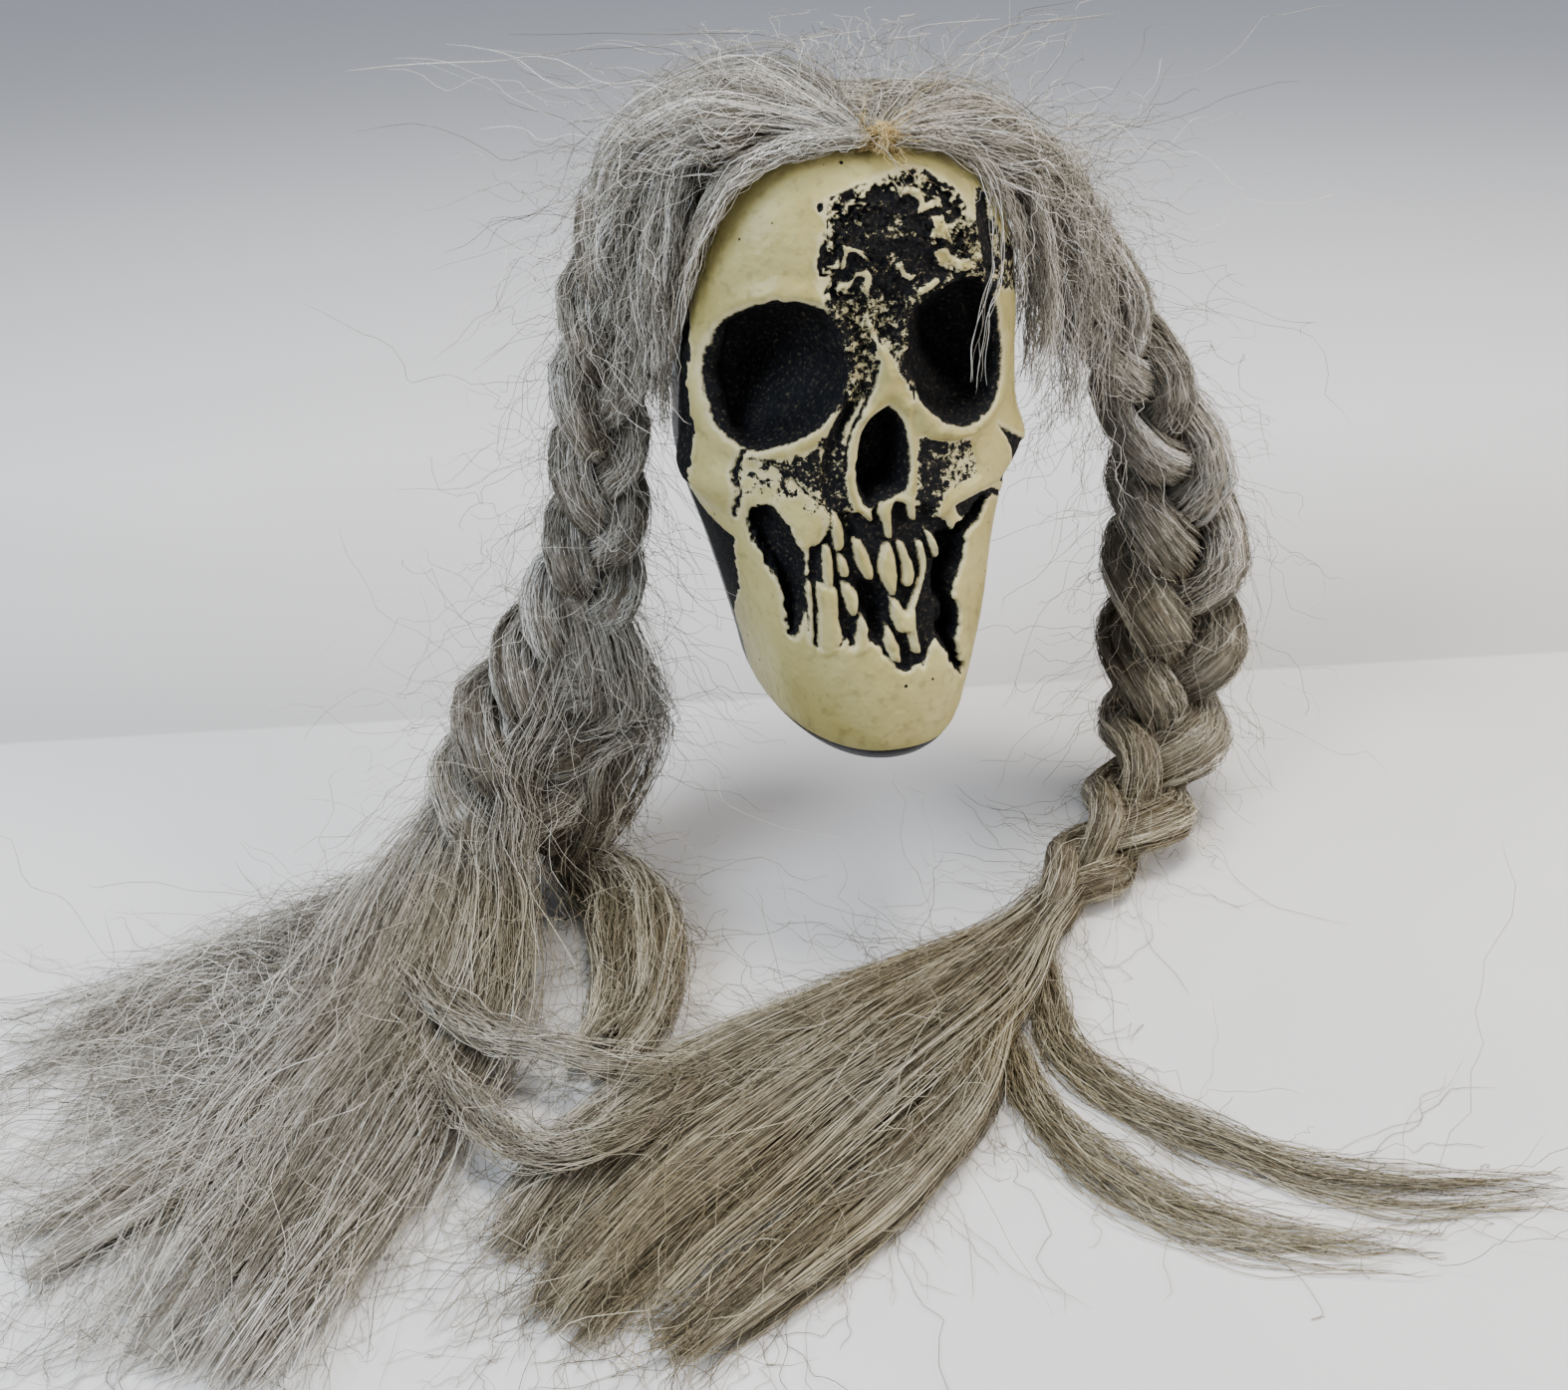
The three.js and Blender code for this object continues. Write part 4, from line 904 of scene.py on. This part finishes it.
class Nodes:
    """A material's node tree, with its shader and shortcuts to add and link nodes."""

    def __init__(self, name):
        self.material = bpy.data.materials.new(name)
        self.material.use_nodes = True
        self.tree = self.material.node_tree
        self.shader = self.tree.nodes["Principled BSDF"]

    def put(self, socket, value):
        """Links a socket to another one, or sets its value."""
        if isinstance(value, bpy.types.NodeSocket):
            self.tree.links.new(value, socket)
        else:
            socket.default_value = value

    def add(self, kind, inputs, **settings):
        node = self.tree.nodes.new(kind)
        for key, value in settings.items():
            setattr(node, key, value)
        for key, value in inputs.items():
            self.put(node.inputs[key], value)
        return node

    def place(self):
        return self.add("ShaderNodeTexCoord", {}).outputs["Object"]

    def place_parts(self):
        return self.add("ShaderNodeSeparateXYZ", {"Vector": self.place()}).outputs

    def noise(self, scale, detail=3.0, roughness=0.55):
        inputs = {"Vector": self.place(), "Scale": scale, "Detail": detail, "Roughness": roughness}
        return self.add("ShaderNodeTexNoise", inputs).outputs["Fac"]

    def attribute(self, name):
        return self.add("ShaderNodeAttribute", {}, attribute_name=name).outputs["Fac"]

    def math(self, operation, first, second):
        return self.add("ShaderNodeMath", {0: first, 1: second}, operation=operation).outputs[0]

    def plus(self, first, second):
        return self.math("ADD", first, second)

    def minus(self, first, second):
        return self.math("SUBTRACT", first, second)

    def times(self, first, second):
        return self.math("MULTIPLY", first, second)

    def clamped(self, value):
        return self.add("ShaderNodeClamp", {"Value": value}).outputs[0]

    def ramp(self, value, *stops):
        node = self.add("ShaderNodeValToRGB", {"Fac": value})
        elements = node.color_ramp.elements
        while len(elements) < len(stops):
            elements.new(0.5)
        for element, (position, colour) in zip(elements, stops):
            element.position = position
            element.color = (*colour, 1)
        return node.outputs["Color"]

    def fade(self, value, start, end, low=0.0, high=1.0):
        """A grey that goes from low to high as a value goes from start to end."""
        return self.ramp(value, (start, (low, low, low)), (end, (high, high, high)))

    def toned(self, scale, share):
        """The tone of a fibre, varied along it by a share of noise."""
        varied = self.plus(self.attribute("tone"), self.times(self.noise(scale), share))
        return self.minus(varied, share / 2)

    def mix(self, share, first, second, blend="MIX"):
        inputs = {"Factor": share, 6: first, 7: second}
        return self.add("ShaderNodeMix", inputs, data_type="RGBA", blend_type=blend).outputs[2]

    def bump(self, height, distance, strength):
        inputs = {"Height": height, "Distance": distance, "Strength": strength}
        return self.add("ShaderNodeBump", inputs).outputs["Normal"]

    def shade(self, **sockets):
        for key, value in sockets.items():
            self.put(self.shader.inputs[key.replace("_", " ")], value)
        return self.material


def bone_material():
    """Cream paint over black, broken by grain and specks where it is worn, and lighter at its rim."""
    nodes = Nodes("bone_paint")
    spread = nodes.plus(nodes.times(nodes.attribute("worn"), WORN_GRAIN), CLEAN_GRAIN)
    grain = nodes.times(nodes.minus(nodes.noise(scale=620, detail=6, roughness=0.72), 0.5), spread)
    mask = nodes.fade(nodes.plus(nodes.attribute("cream"), grain), *PAINT_FADE)
    cells = nodes.add("ShaderNodeTexVoronoi", {"Vector": nodes.place(), "Scale": SPECKS_PER_METRE}).outputs
    specks = nodes.fade(nodes.plus(cells["Distance"], nodes.times(cells["Color"], 0.12)), *SPECK_FADE)
    painted = nodes.times(mask, specks)
    cream = nodes.ramp(nodes.noise(scale=34, detail=4), *CREAM_COLOURS)
    stain = nodes.fade(nodes.noise(scale=280, detail=4), *STAIN_FADE, low=0.78)
    rim = nodes.fade(nodes.attribute("cream"), *RIM_FADE, low=0.4, high=0)
    lit = nodes.mix(rim, nodes.mix(1.0, cream, stain, blend="MULTIPLY"), RIM_COLOUR)
    black = nodes.ramp(nodes.noise(scale=900, detail=5, roughness=0.7), *BLACK_COLOURS)
    skin = nodes.plus(nodes.times(painted, 0.5), nodes.noise(scale=420, detail=5, roughness=0.6))
    return nodes.shade(
        Base_Color=nodes.mix(painted, black, lit),
        Roughness=nodes.fade(painted, 0, 1, low=0.78, high=0.4),
        Normal=nodes.bump(skin, distance=0.0005, strength=0.6),
        Specular_IOR_Level=0.24,
        Coat_Weight=nodes.times(painted, 0.08),
        Coat_Roughness=0.25,
    )


def shell_material():
    nodes = Nodes("black_shell")
    return nodes.shade(
        Base_Color=nodes.ramp(nodes.noise(scale=60, detail=4), *SHELL_COLOURS),
        Roughness=nodes.fade(nodes.noise(scale=90), *GLOSS_FADE, low=0.34, high=0.5),
        Normal=nodes.bump(nodes.noise(scale=500, detail=4), distance=0.0003, strength=0.4),
    )


class Lock:
    """The course of a lock of hair: a centre line with side and upper directions and half sizes."""

    def __init__(self, points, reach, rise, first_side=None):
        places = np.linspace(0, 1, LOCK_STEPS)
        self.centre = evenly(points, LOCK_STEPS)
        self.along = normalised(np.gradient(self.centre, axis=0))
        if first_side is None:
            self.side = normalised(np.cross(self.along, (0, 0, 1)))
        else:
            self.side = self.carried(first_side)
        self.up = np.cross(self.side, self.along)
        self.reach = np.interp(places, evenly_placed(reach), reach)
        self.rise = np.interp(places, evenly_placed(rise), rise)

    def carried(self, first_side):
        """A side direction carried along the centre line without twisting."""
        side = np.array(first_side, float)
        sides = []
        for direction in self.along:
            side = normalised(side - direction * (side @ direction))
            sides.append(side)
        return np.array(sides)

    def read(self, rows, place):
        """The values of some of the lock's own rows at places from 0 to 1 along it."""
        at = np.clip(place, 0, 1) * (LOCK_STEPS - 1)
        first = np.minimum(at.astype(int), LOCK_STEPS - 2)
        share = (at - first)[..., None] if rows.ndim > 1 else at - first
        return rows[first] * (1 - share) + rows[first + 1] * share

    def spread(self, place, across, above):
        """Points at places along the lock, off its centre by shares of its half sizes."""
        side = self.read(self.side, place) * (self.read(self.reach, place) * across)[..., None]
        up = self.read(self.up, place) * (self.read(self.rise, place) * above)[..., None]
        return self.read(self.centre, place) + side + up


def wander(rng, count, steps, waves, axes=3):
    """Smooth random drift along each of many fibres, from about -1 to 1."""
    share = np.linspace(0, 1, steps)[None, :, None]
    total = 0
    for layer in range(3):
        rate = waves * (0.5 + layer) * rng.uniform(0.7, 1.3, (count, 1, axes))
        phase = rng.uniform(0, 2 * math.pi, (count, 1, axes))
        total = total + np.sin(2 * math.pi * rate * share + phase) / (1 + layer)
    return total / 1.8


def fibre_tones(rng, groups, member):
    """A tone for each fibre, mostly that of the clump or tress it belongs to."""
    return CLUMP_TONE * rng.random(groups)[member] + FIBRE_TONE * rng.random(len(member))


def lock_fibres(lock, rng, count, steps, starts=(0, 0.06), ends=(0.93, 1), wave=0.35):
    """Fibres laid around the skin of a lock in small clumps, with a tone for each."""
    clumps = 22
    turn = rng.uniform(0, 2 * math.pi, count)
    clump_turn = np.sort(rng.uniform(0, 2 * math.pi, clumps))
    clump = np.abs(turn[:, None] - clump_turn).argmin(axis=1)
    pull = (clump_turn[clump] - turn)[:, None]
    start = rng.uniform(*starts, count)[:, None]
    end = rng.uniform(*ends, count)[:, None]
    place = start + (end - start) * np.linspace(0, 1, steps)
    drift = wander(rng, count, steps, waves=1.0, axes=2)
    clump_drift = wander(rng, clumps, steps, waves=1.2, axes=2)[clump]
    gather = 0.45 + 0.4 * clump_drift[..., 1]
    angle = turn[:, None] + pull * gather + 0.2 * drift[..., 0] + 0.25 * clump_drift[..., 0]
    size = rng.triangular(0.82, 0.98, 1.1, count)[:, None]
    size = size * (1 + 0.05 * drift[..., 1] + 0.07 * clump_drift[..., 1])
    points = lock.spread(place, size * np.cos(angle), size * np.sin(angle))
    points += wave * wander(rng, count, steps, waves=1.6)
    return points, fibre_tones(rng, clumps, clump)


def tress_fibres(lock, rng, count, steps, tresses=24, starts=(0, 0.04), ends=(0.88, 1), wave=0.8, curl=0.26):
    """Fibres gathered in tresses that wander inside a lock and thin towards their ends."""
    turn = rng.uniform(0, 2 * math.pi, tresses)
    radius = 0.92 * np.sqrt(rng.uniform(0.08, 1, tresses))
    middle = np.stack([radius * np.cos(turn), radius * np.sin(turn)], axis=1)[:, None]
    middle = middle + curl * wander(rng, tresses, steps, waves=0.9, axes=2)
    member = rng.integers(0, tresses, count)
    share = np.linspace(0, 1, steps)
    thinning = (1 - 0.45 * share**2)[None, :, None]
    offset = middle[member] + rng.normal(0, 1, (count, 1, 2)) * (0.17, 0.24) * thinning
    start = rng.uniform(*starts, count)[:, None]
    end = np.clip(rng.uniform(*ends, tresses)[member] + rng.normal(0, 0.014, count), 0, 1)[:, None]
    place = start + (end - start) * share
    points = lock.spread(place, offset[..., 0], offset[..., 1])
    points += wave * wander(rng, count, steps, waves=2.0)
    return points, fibre_tones(rng, tresses, member)


def frayed_fibres(lock, rng, count, steps=14, spans=(0.12, 0.35), lifts=(1.05, 1.7), wave=1.0):
    """Short fibres that follow a lock's skin and leave it gently at their tips."""
    start = rng.uniform(0, 0.95, count)[:, None]
    end = np.minimum(start + rng.uniform(*spans, (count, 1)), 1)
    share = np.linspace(0, 1, steps)
    turn = rng.uniform(0, 2 * math.pi, (count, 1))
    angle = turn + 0.5 * wander(rng, count, steps, waves=0.6, axes=1)[..., 0]
    size = 0.95 + (rng.uniform(*lifts, (count, 1)) - 0.95) * share**2
    points = lock.spread(start + (end - start) * share, size * np.cos(angle), size * np.sin(angle))
    points += wave * wander(rng, count, steps, waves=1.4) * share[:, None]
    return points, 0.9 * rng.random(count)


def stray_fibres(lock, rng, count, steps, lengths=(14, 55), lean=1.0, fall=-0.22):
    """Curly loose hairs that leave a lock and end in the air or on the table."""
    place = rng.uniform(0.03, 1, count)
    turn = rng.uniform(0, 2 * math.pi, count)
    root = lock.spread(place, 0.9 * np.cos(turn), 0.9 * np.sin(turn))
    out = normalised(root - lock.read(lock.centre, place))
    along = lock.read(lock.along, place)
    heading = normalised(
        along * rng.uniform(0.2, 1.2, (count, 1))
        + out * lean * rng.uniform(0.1, 0.9, (count, 1))
        + rng.normal(0, 0.25, (count, 3))
    )
    length = rng.triangular(lengths[0], lengths[0], lengths[1], (count, 1, 1))
    share = np.linspace(0, 1, steps)[None, :, None]
    bend = rng.normal(0, 0.45, (count, 1, 3)) + (0, 0, fall)
    curl = wander(rng, count, steps, waves=1.7) * (0.16 * length * share**0.7)
    points = root[:, None] + heading[:, None] * length * share + bend * length * share**2 + curl
    return points, 0.8 * rng.random(count)


def off_the_face(paths):
    """Which fibres leave the room in front of the face free."""
    entered = np.all((paths > FACE_ROOM[0]) & (paths < FACE_ROOM[1]), axis=-1)
    return ~entered.any(axis=1)


def inside_limits(points):
    """Points eased back into the room that the part may fill, and lifted onto the table."""
    low = np.array(cad_box[0]) / MM
    high = np.array(cad_box[1]) / MM
    over = np.maximum(points - high, 0)
    under = np.maximum(low - points, 0)
    eased = points - over + BOX_SPARE * np.tanh(over / BOX_SPARE)
    eased = eased + under - BOX_SPARE * np.tanh(under / BOX_SPARE)
    eased[..., 2] = np.maximum(eased[..., 2], TABLE_LEVEL + 2 * HAIR_RADIUS)
    return eased


def tubes(paths, radius, rng):
    """Thin tubes along many paths of equal numbers of points."""
    count, steps, _ = paths.shape
    along = normalised(np.gradient(paths, axis=1))
    side = normalised(np.cross(along, normalised(rng.normal(size=(count, 1, 3)))))
    up = np.cross(along, side)
    taper = 1 - TIP_TAPER * np.abs(np.linspace(-1, 1, steps)) ** TIP_SHARPNESS
    turn = np.arange(TUBE_SIDES) * 2 * math.pi / TUBE_SIDES
    around = np.cos(turn)[:, None] * side[:, :, None] + np.sin(turn)[:, None] * up[:, :, None]
    points = paths[:, :, None] + around * (radius * taper)[None, :, None, None]
    starts = np.arange(count) * steps * TUBE_SIDES
    faces = grid_faces(steps, TUBE_SIDES, closed=True)[None] + starts[:, None, None]
    return points.reshape(-1, 3), faces.reshape(-1, 4)


def lock_core(lock, rng, share, reach=1.0, tip=ROOT_TAPER, rows=70, columns=56):
    """The grooved body of a lock, just under its fibres, as far as reach along it, with a narrowing tip."""
    place = np.linspace(0, 1, rows)[:, None]
    turn = np.linspace(0, 2 * math.pi, columns, endpoint=False)
    groove = 0
    for waves in (9, 15, 24):
        sway = np.sin(2 * math.pi * (place * rng.uniform(0.6, 1.6) + rng.random()))
        groove = groove + np.sin(waves * turn + rng.uniform(0, 2 * math.pi) + 1.4 * sway) / 3
    end = np.clip(np.maximum(1 - place / ROOT_TAPER, 1 - (1 - place) / tip), 0, 1)
    size = share * (1 + 0.07 * groove) * (1 - end**2)
    place = np.broadcast_to(place * reach, size.shape)
    points = lock.spread(place, size * np.cos(turn), size * np.sin(turn))
    # The body's tone is low, and lower still in its grooves: painted shade for the depths between the
    # fibres.
    return points.reshape(-1, 3), grid_faces(rows, columns, closed=True), 0.15 + 0.15 * groove.ravel()


class HairPiece:
    """Gathers tubes and cores of hair, then makes them into one mesh."""

    def __init__(self, name, seed):
        self.name = name
        self.rng = np.random.default_rng(SEED + seed)
        self.points = []
        self.faces = []
        self.tones = []
        self.total = 0

    def add(self, points, faces, tones):
        self.points.append(points)
        self.faces.append(faces + self.total)
        self.tones.append(tones)
        self.total += len(points)

    def fill(self, lock, count, steps=22, core=0.84, **options):
        """A core with fibres laid over its skin."""
        self.add(*lock_core(lock, self.rng, core))
        self.tube(*lock_fibres(lock, self.rng, fewer(count), steps, **options))

    def loosen(self, lock, count, steps=22, core=0.0, **options):
        """Loose tresses, with a core only where they are dense."""
        if core:
            self.add(*lock_core(lock, self.rng, core, reach=0.88, tip=0.45))
        self.tube(*tress_fibres(lock, self.rng, fewer(count), steps, **options))

    def fray(self, lock, count, **options):
        self.tube_clear(*frayed_fibres(lock, self.rng, fewer(count), **options))

    def stray(self, lock, count, steps=18, **options):
        self.tube_clear(*stray_fibres(lock, self.rng, fewer(count), steps, **options), FINE_RADIUS)

    def tube_clear(self, paths, tones, radius=HAIR_RADIUS):
        """Tubes along the paths that stay off the face."""
        clear = off_the_face(paths)
        self.tube(paths[clear], tones[clear], radius)

    def tube(self, paths, tones, radius=HAIR_RADIUS):
        points, faces = tubes(inside_limits(paths), radius, self.rng)
        self.add(points, faces, np.repeat(tones, len(points) // len(tones)))

    def finish(self, material, node=None):
        points = np.concatenate(self.points)
        points[:, 2] = np.maximum(points[:, 2], TABLE_LEVEL + TABLE_CLEARANCE)
        piece = new_mesh(self.name, points, np.concatenate(self.faces), tone=np.concatenate(self.tones))
        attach(piece, "root")
        if node:
            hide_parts(node)
        piece.data.materials.append(material)


def fewer(count):
    return count


def spot(shares):
    """A place from shares of the head's width, of its depth, and of its height or of the drop below it."""
    across, back, up = shares
    return np.array((across * HEAD_WIDTH, back * HEAD_DEPTH, up * (HEAD_HEIGHT if up > 0 else STAND_HEIGHT)))


def routed(route, reach, rise, first_side):
    return Lock([spot(shares) for shares in route], reach, rise, first_side)


def strand(route, size_shares, index, slack=0.0):
    """One of a braid's three strands, a third of a turn behind the last one; slack loosens it downwards."""
    whole = routed(route, [1], [1], (1, 0, 0))
    place = np.linspace(0, 1, LOCK_STEPS)
    size = STRAND_SIZE * np.interp(place, evenly_placed(size_shares), size_shares)
    size = size * (1 + slack * place * (1 + np.sin(9 * place + 2 * index)))
    phase = 2 * math.pi * (BRAID_TURNS * place + index / 3)
    centre = (
        whole.centre
        + whole.side * (size * WEAVE_REACH * np.sin(phase))[:, None]
        + whole.up * (size * WEAVE_RISE * np.sin(2 * phase))[:, None]
    )
    reach = size * STRAND_REACH * (1 + STRAND_BULGE * np.abs(np.cos(phase)))
    return Lock(centre, reach, size * STRAND_RISE, (1, 0, 0))


def lying(size, route, width_shares, thickness_shares):
    """A lock that lies on the table, where its route only gives how far it is lifted."""
    half_width, half_thickness = np.array(size) / 2
    points = []
    for index, shares in enumerate(route):
        across, back, lift = (*shares, 0)[:3]
        place = index / (len(route) - 1)
        half = half_thickness * np.interp(place, evenly_placed(thickness_shares), thickness_shares)
        level = TABLE_LEVEL + half * LYING_SINK + lift * STAND_HEIGHT
        points.append((across * HEAD_WIDTH, back * HEAD_DEPTH, level))
    return Lock(points, np.array(width_shares) * half_width, np.array(thickness_shares) * half_thickness)


def add_braid(side, route, size_shares, material, seed):
    for index in range(3):
        piece = HairPiece(f"{side}_strand_{index + 1}", seed + index)
        course = strand(route, size_shares, index, slack=0.1)
        piece.fill(course, count=500, steps=32, starts=(0, 0.02), ends=(0.95, 1), wave=0.5)
        piece.fray(course, count=170, spans=(0.06, 0.2), lifts=(1.05, 1.5), steps=12)
        piece.stray(course, count=270, steps=20, lengths=(6, 66))
        piece.finish(material, f"{side}_braid_strand_{index + 1}")


def crown_lock(side):
    """The hank's course from the knot over one side of the crown to its braid, pinched at the knot."""
    braid = LEFT_BRAID if side == "left" else RIGHT_BRAID
    middle = LEFT_HANK if side == "left" else RIGHT_HANK
    root = spot(braid[0])
    along = normalised(spot(braid[1]) - root)
    end = [root - along * HANK_END_BEFORE, root + along * HANK_END_PAST]
    points = [spot(shares) for shares in middle] + end
    facing = 1 if side == "left" else -1
    rise = np.array(HANK_RISE) * (1 if side == "left" else RIGHT_FULLNESS)
    return Lock(points, HANK_REACH, rise, (0, facing * math.cos(CROWN_TILT), facing * math.sin(CROWN_TILT)))


def add_crown(material):
    for side, seed in (("left", 100), ("right", 110)):
        course = crown_lock(side)
        piece = HairPiece(f"{side}_crown", seed)
        piece.add(*lock_core(course, piece.rng, 0.72))
        piece.loosen(course, steps=26, **HANK_HAIR)
        piece.finish(material, f"crown_hair_{side}")
        loose = HairPiece(f"{side}_crown_wisps", seed + 1)
        loose.fray(course, count=300, spans=(0.2, 0.5), lifts=(1.0, 1.3), steps=18, wave=2.5)
        loose.stray(course, count=560, steps=24, lengths=(8, 66), lean=0.8, fall=-0.05)
        loose.finish(material)

    # Hair that crosses the parting behind the knot
    bridge = HairPiece("parting_hair", seed=115)
    course = routed(PARTING, PARTING_REACH, PARTING_RISE, (0, 1, 0.1))
    bridge.loosen(course, count=520, wave=1.2, starts=(0, 0.1), ends=(0.88, 1), tresses=26, curl=0.25)
    bridge.stray(course, count=120, lengths=(10, 40), fall=0)
    bridge.finish(material)


def add_temples(material):
    for side, route, count, veil, veil_count, seed in (
        ("left", LEFT_TEMPLE, 420, LEFT_VEIL, 460, 120),
        ("right", RIGHT_TEMPLE, 200, RIGHT_VEIL, 320, 130),
    ):
        piece = HairPiece(f"{side}_temple", seed)
        lock = routed(route, TEMPLE_REACH, TEMPLE_RISE, (0, 1, 0))
        piece.loosen(lock, count=count, wave=2.0, ends=(0.5, 1), tresses=16, curl=0.4)
        curtain = routed(veil, VEIL_REACH, VEIL_RISE, (1, 0, 0))
        piece.loosen(curtain, count=veil_count, wave=3.0, ends=(0.3, 1), tresses=44, curl=0.6)
        piece.stray(curtain, count=200, lengths=(10, 40))
        piece.finish(material, f"temple_lock_{side}")


def add_brows(material):
    """Hair that lies along the upper edges of the forehead, and a few hairs across an eye."""
    piece = HairPiece("brows", seed=160)
    left = routed(LEFT_BROW, BROW_REACH, BROW_RISE, (-0.75, 0.65, 0))
    piece.loosen(left, count=360, wave=1.8, starts=(0, 0.15), ends=(0.35, 1), tresses=40, curl=0.4)
    right = routed(RIGHT_BROW, BROW_REACH, BROW_RISE, (0.75, 0.65, 0))
    piece.loosen(right, count=120, wave=2.2, starts=(0, 0.15), ends=(0.3, 1), tresses=40, curl=0.5)
    crossing = routed(CROSSING_HAIRS, CROSSING_REACH, CROSSING_RISE, (1, 0, 0))
    piece.loosen(crossing, count=7, steps=40, wave=1.2, starts=(0, 0.1), ends=(0.7, 1), tresses=7, curl=0.1)
    piece.finish(material)


def add_lying_locks(material):
    for number, (name, *shape, hair) in enumerate(LYING_LOCKS + LOOSE_MASSES):
        course = lying(*shape)
        piece = HairPiece(f"{name}_hair", LYING_SEED + 10 * number)
        piece.loosen(course, **hair)
        piece.fray(course, count=hair["count"] // 5, spans=(0.15, 0.4), lifts=(1.0, 1.5), wave=1.6)
        piece.stray(course, count=hair["count"] // 4, steps=20, lengths=(8, 60), fall=-0.1)
        piece.finish(material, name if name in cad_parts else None)


def add_knot():
    material = thread_material()
    piece = HairPiece("knot", seed=300)
    sizes = np.array(KNOT_SIZE_SHARES) * KNOT_SIZE
    course = Lock(KNOT_COURSE, sizes, sizes, (0, 1, 0))
    piece.fill(course, count=120, steps=16, core=0.8, wave=0.8)
    around = Lock(KNOT_WRAP, KNOT_WRAP_REACH, KNOT_WRAP_RISE, (1, 0, 0))
    piece.loosen(around, count=90, steps=14, wave=0.8, tresses=12, curl=0.4)
    piece.stray(course, count=90, steps=14, lengths=(3, 12), fall=0)
    piece.finish(material, "parting_knot")


def add_glue():
    nodes = Nodes("yellowed_glue")
    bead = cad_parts["glue_bead"]
    bead.data.materials.clear()
    bead.data.materials.append(nodes.shade(
        Base_Color=nodes.ramp(nodes.noise(scale=120), *GLUE_COLOURS),
        Roughness=nodes.fade(nodes.noise(scale=200), *GLOSS_FADE, low=0.25, high=0.45),
    ))


def hair_material():
    """Silver hair that turns darker and warmer near the table, and silver again at its left ends."""
    nodes = Nodes("hair")
    tone = nodes.toned(scale=160, share=0.35)
    parts = nodes.place_parts()
    low = nodes.clamped(nodes.times(nodes.minus(ASH_TOP_M, parts["Z"]), ASH_FALL))
    right = nodes.clamped(nodes.times(nodes.plus(parts["X"], ASH_REACH_M), ASH_SPREAD))
    patches = nodes.times(nodes.minus(nodes.noise(scale=14, detail=2), 0.5), 1.6)
    ashen = nodes.clamped(nodes.plus(nodes.times(low, right), patches))
    return nodes.shade(
        Base_Color=nodes.mix(ashen, nodes.ramp(tone, *SILVER_COLOURS), nodes.ramp(tone, *ASH_COLOURS)),
        Roughness=nodes.fade(nodes.noise(scale=300, detail=2), *GLOSS_FADE, low=0.21, high=0.34),
    )


def thread_material():
    nodes = Nodes("knot_thread")
    colour = nodes.ramp(nodes.toned(scale=400, share=0.3), *KNOT_COLOURS)
    return nodes.shade(Base_Color=colour, Roughness=0.5)


def add_floor():
    """A wide table with pale paper on it, which ends in a straight edge behind the part."""
    level = TABLE_LEVEL - FLOOR_DROP
    across = np.linspace(-FLOOR_REACH, FLOOR_REACH, FLOOR_LINES)
    points = np.array([(x, y, level) for y in across for x in across])
    floor = new_mesh("floor", points, grid_faces(len(across), len(across)))
    nodes = Nodes("table_and_paper")
    parts = nodes.place_parts()
    past = nodes.minus(nodes.plus(parts["Y"], nodes.times(parts["X"], PAPER_SLOPE)), PAPER_EDGE * MM)
    paper = nodes.ramp(nodes.noise(scale=9, detail=2), *PAPER_COLOURS)
    # Past the paper's edge the table is darkest and lightens with distance: painted shade standing in for a
    # wall behind the part.
    tone = nodes.plus(nodes.times(past, 0.9), nodes.times(nodes.noise(scale=5), 0.1))
    table = nodes.ramp(tone, *TABLE_WALL_SHADE_COLOURS)
    colour = nodes.mix(nodes.clamped(nodes.times(past, PAPER_SHARPNESS)), paper, table)
    floor.data.materials.append(nodes.shade(Base_Color=colour, Roughness=0.9))


def add_light(name, place, aim, size, power, colour):
    data = bpy.data.lights.new(name, "AREA")
    data.shape = "DISK"
    data.size = size
    data.energy = power
    data.color = colour
    back = normalised(np.array(place, float) - np.array(aim, float))
    right = normalised(np.cross((0, 0, 1), back))
    aimed(name, data, place, right, np.cross(back, right), back)


def add_world():
    world = bpy.data.worlds.new("studio")
    world.use_nodes = True
    sky = world.node_tree.nodes["Background"].inputs
    sky["Color"].default_value = SKY_COLOUR
    sky["Strength"].default_value = SKY_STRENGTH
    bpy.context.scene.world = world


hair = hair_material()
add_crown(hair)
add_temples(hair)
add_brows(hair)
add_braid("left", LEFT_BRAID, LEFT_BRAID_SIZES, hair, seed=140)
add_braid("right", RIGHT_BRAID, RIGHT_BRAID_SIZES, hair, seed=150)
add_lying_locks(hair)
add_knot()
add_glue()
add_camera()
add_face()
add_rear()
add_floor()
add_world()
for light in LIGHTS:
    add_light(*light)
bpy.context.scene.view_settings.look = "AgX - Medium High Contrast"
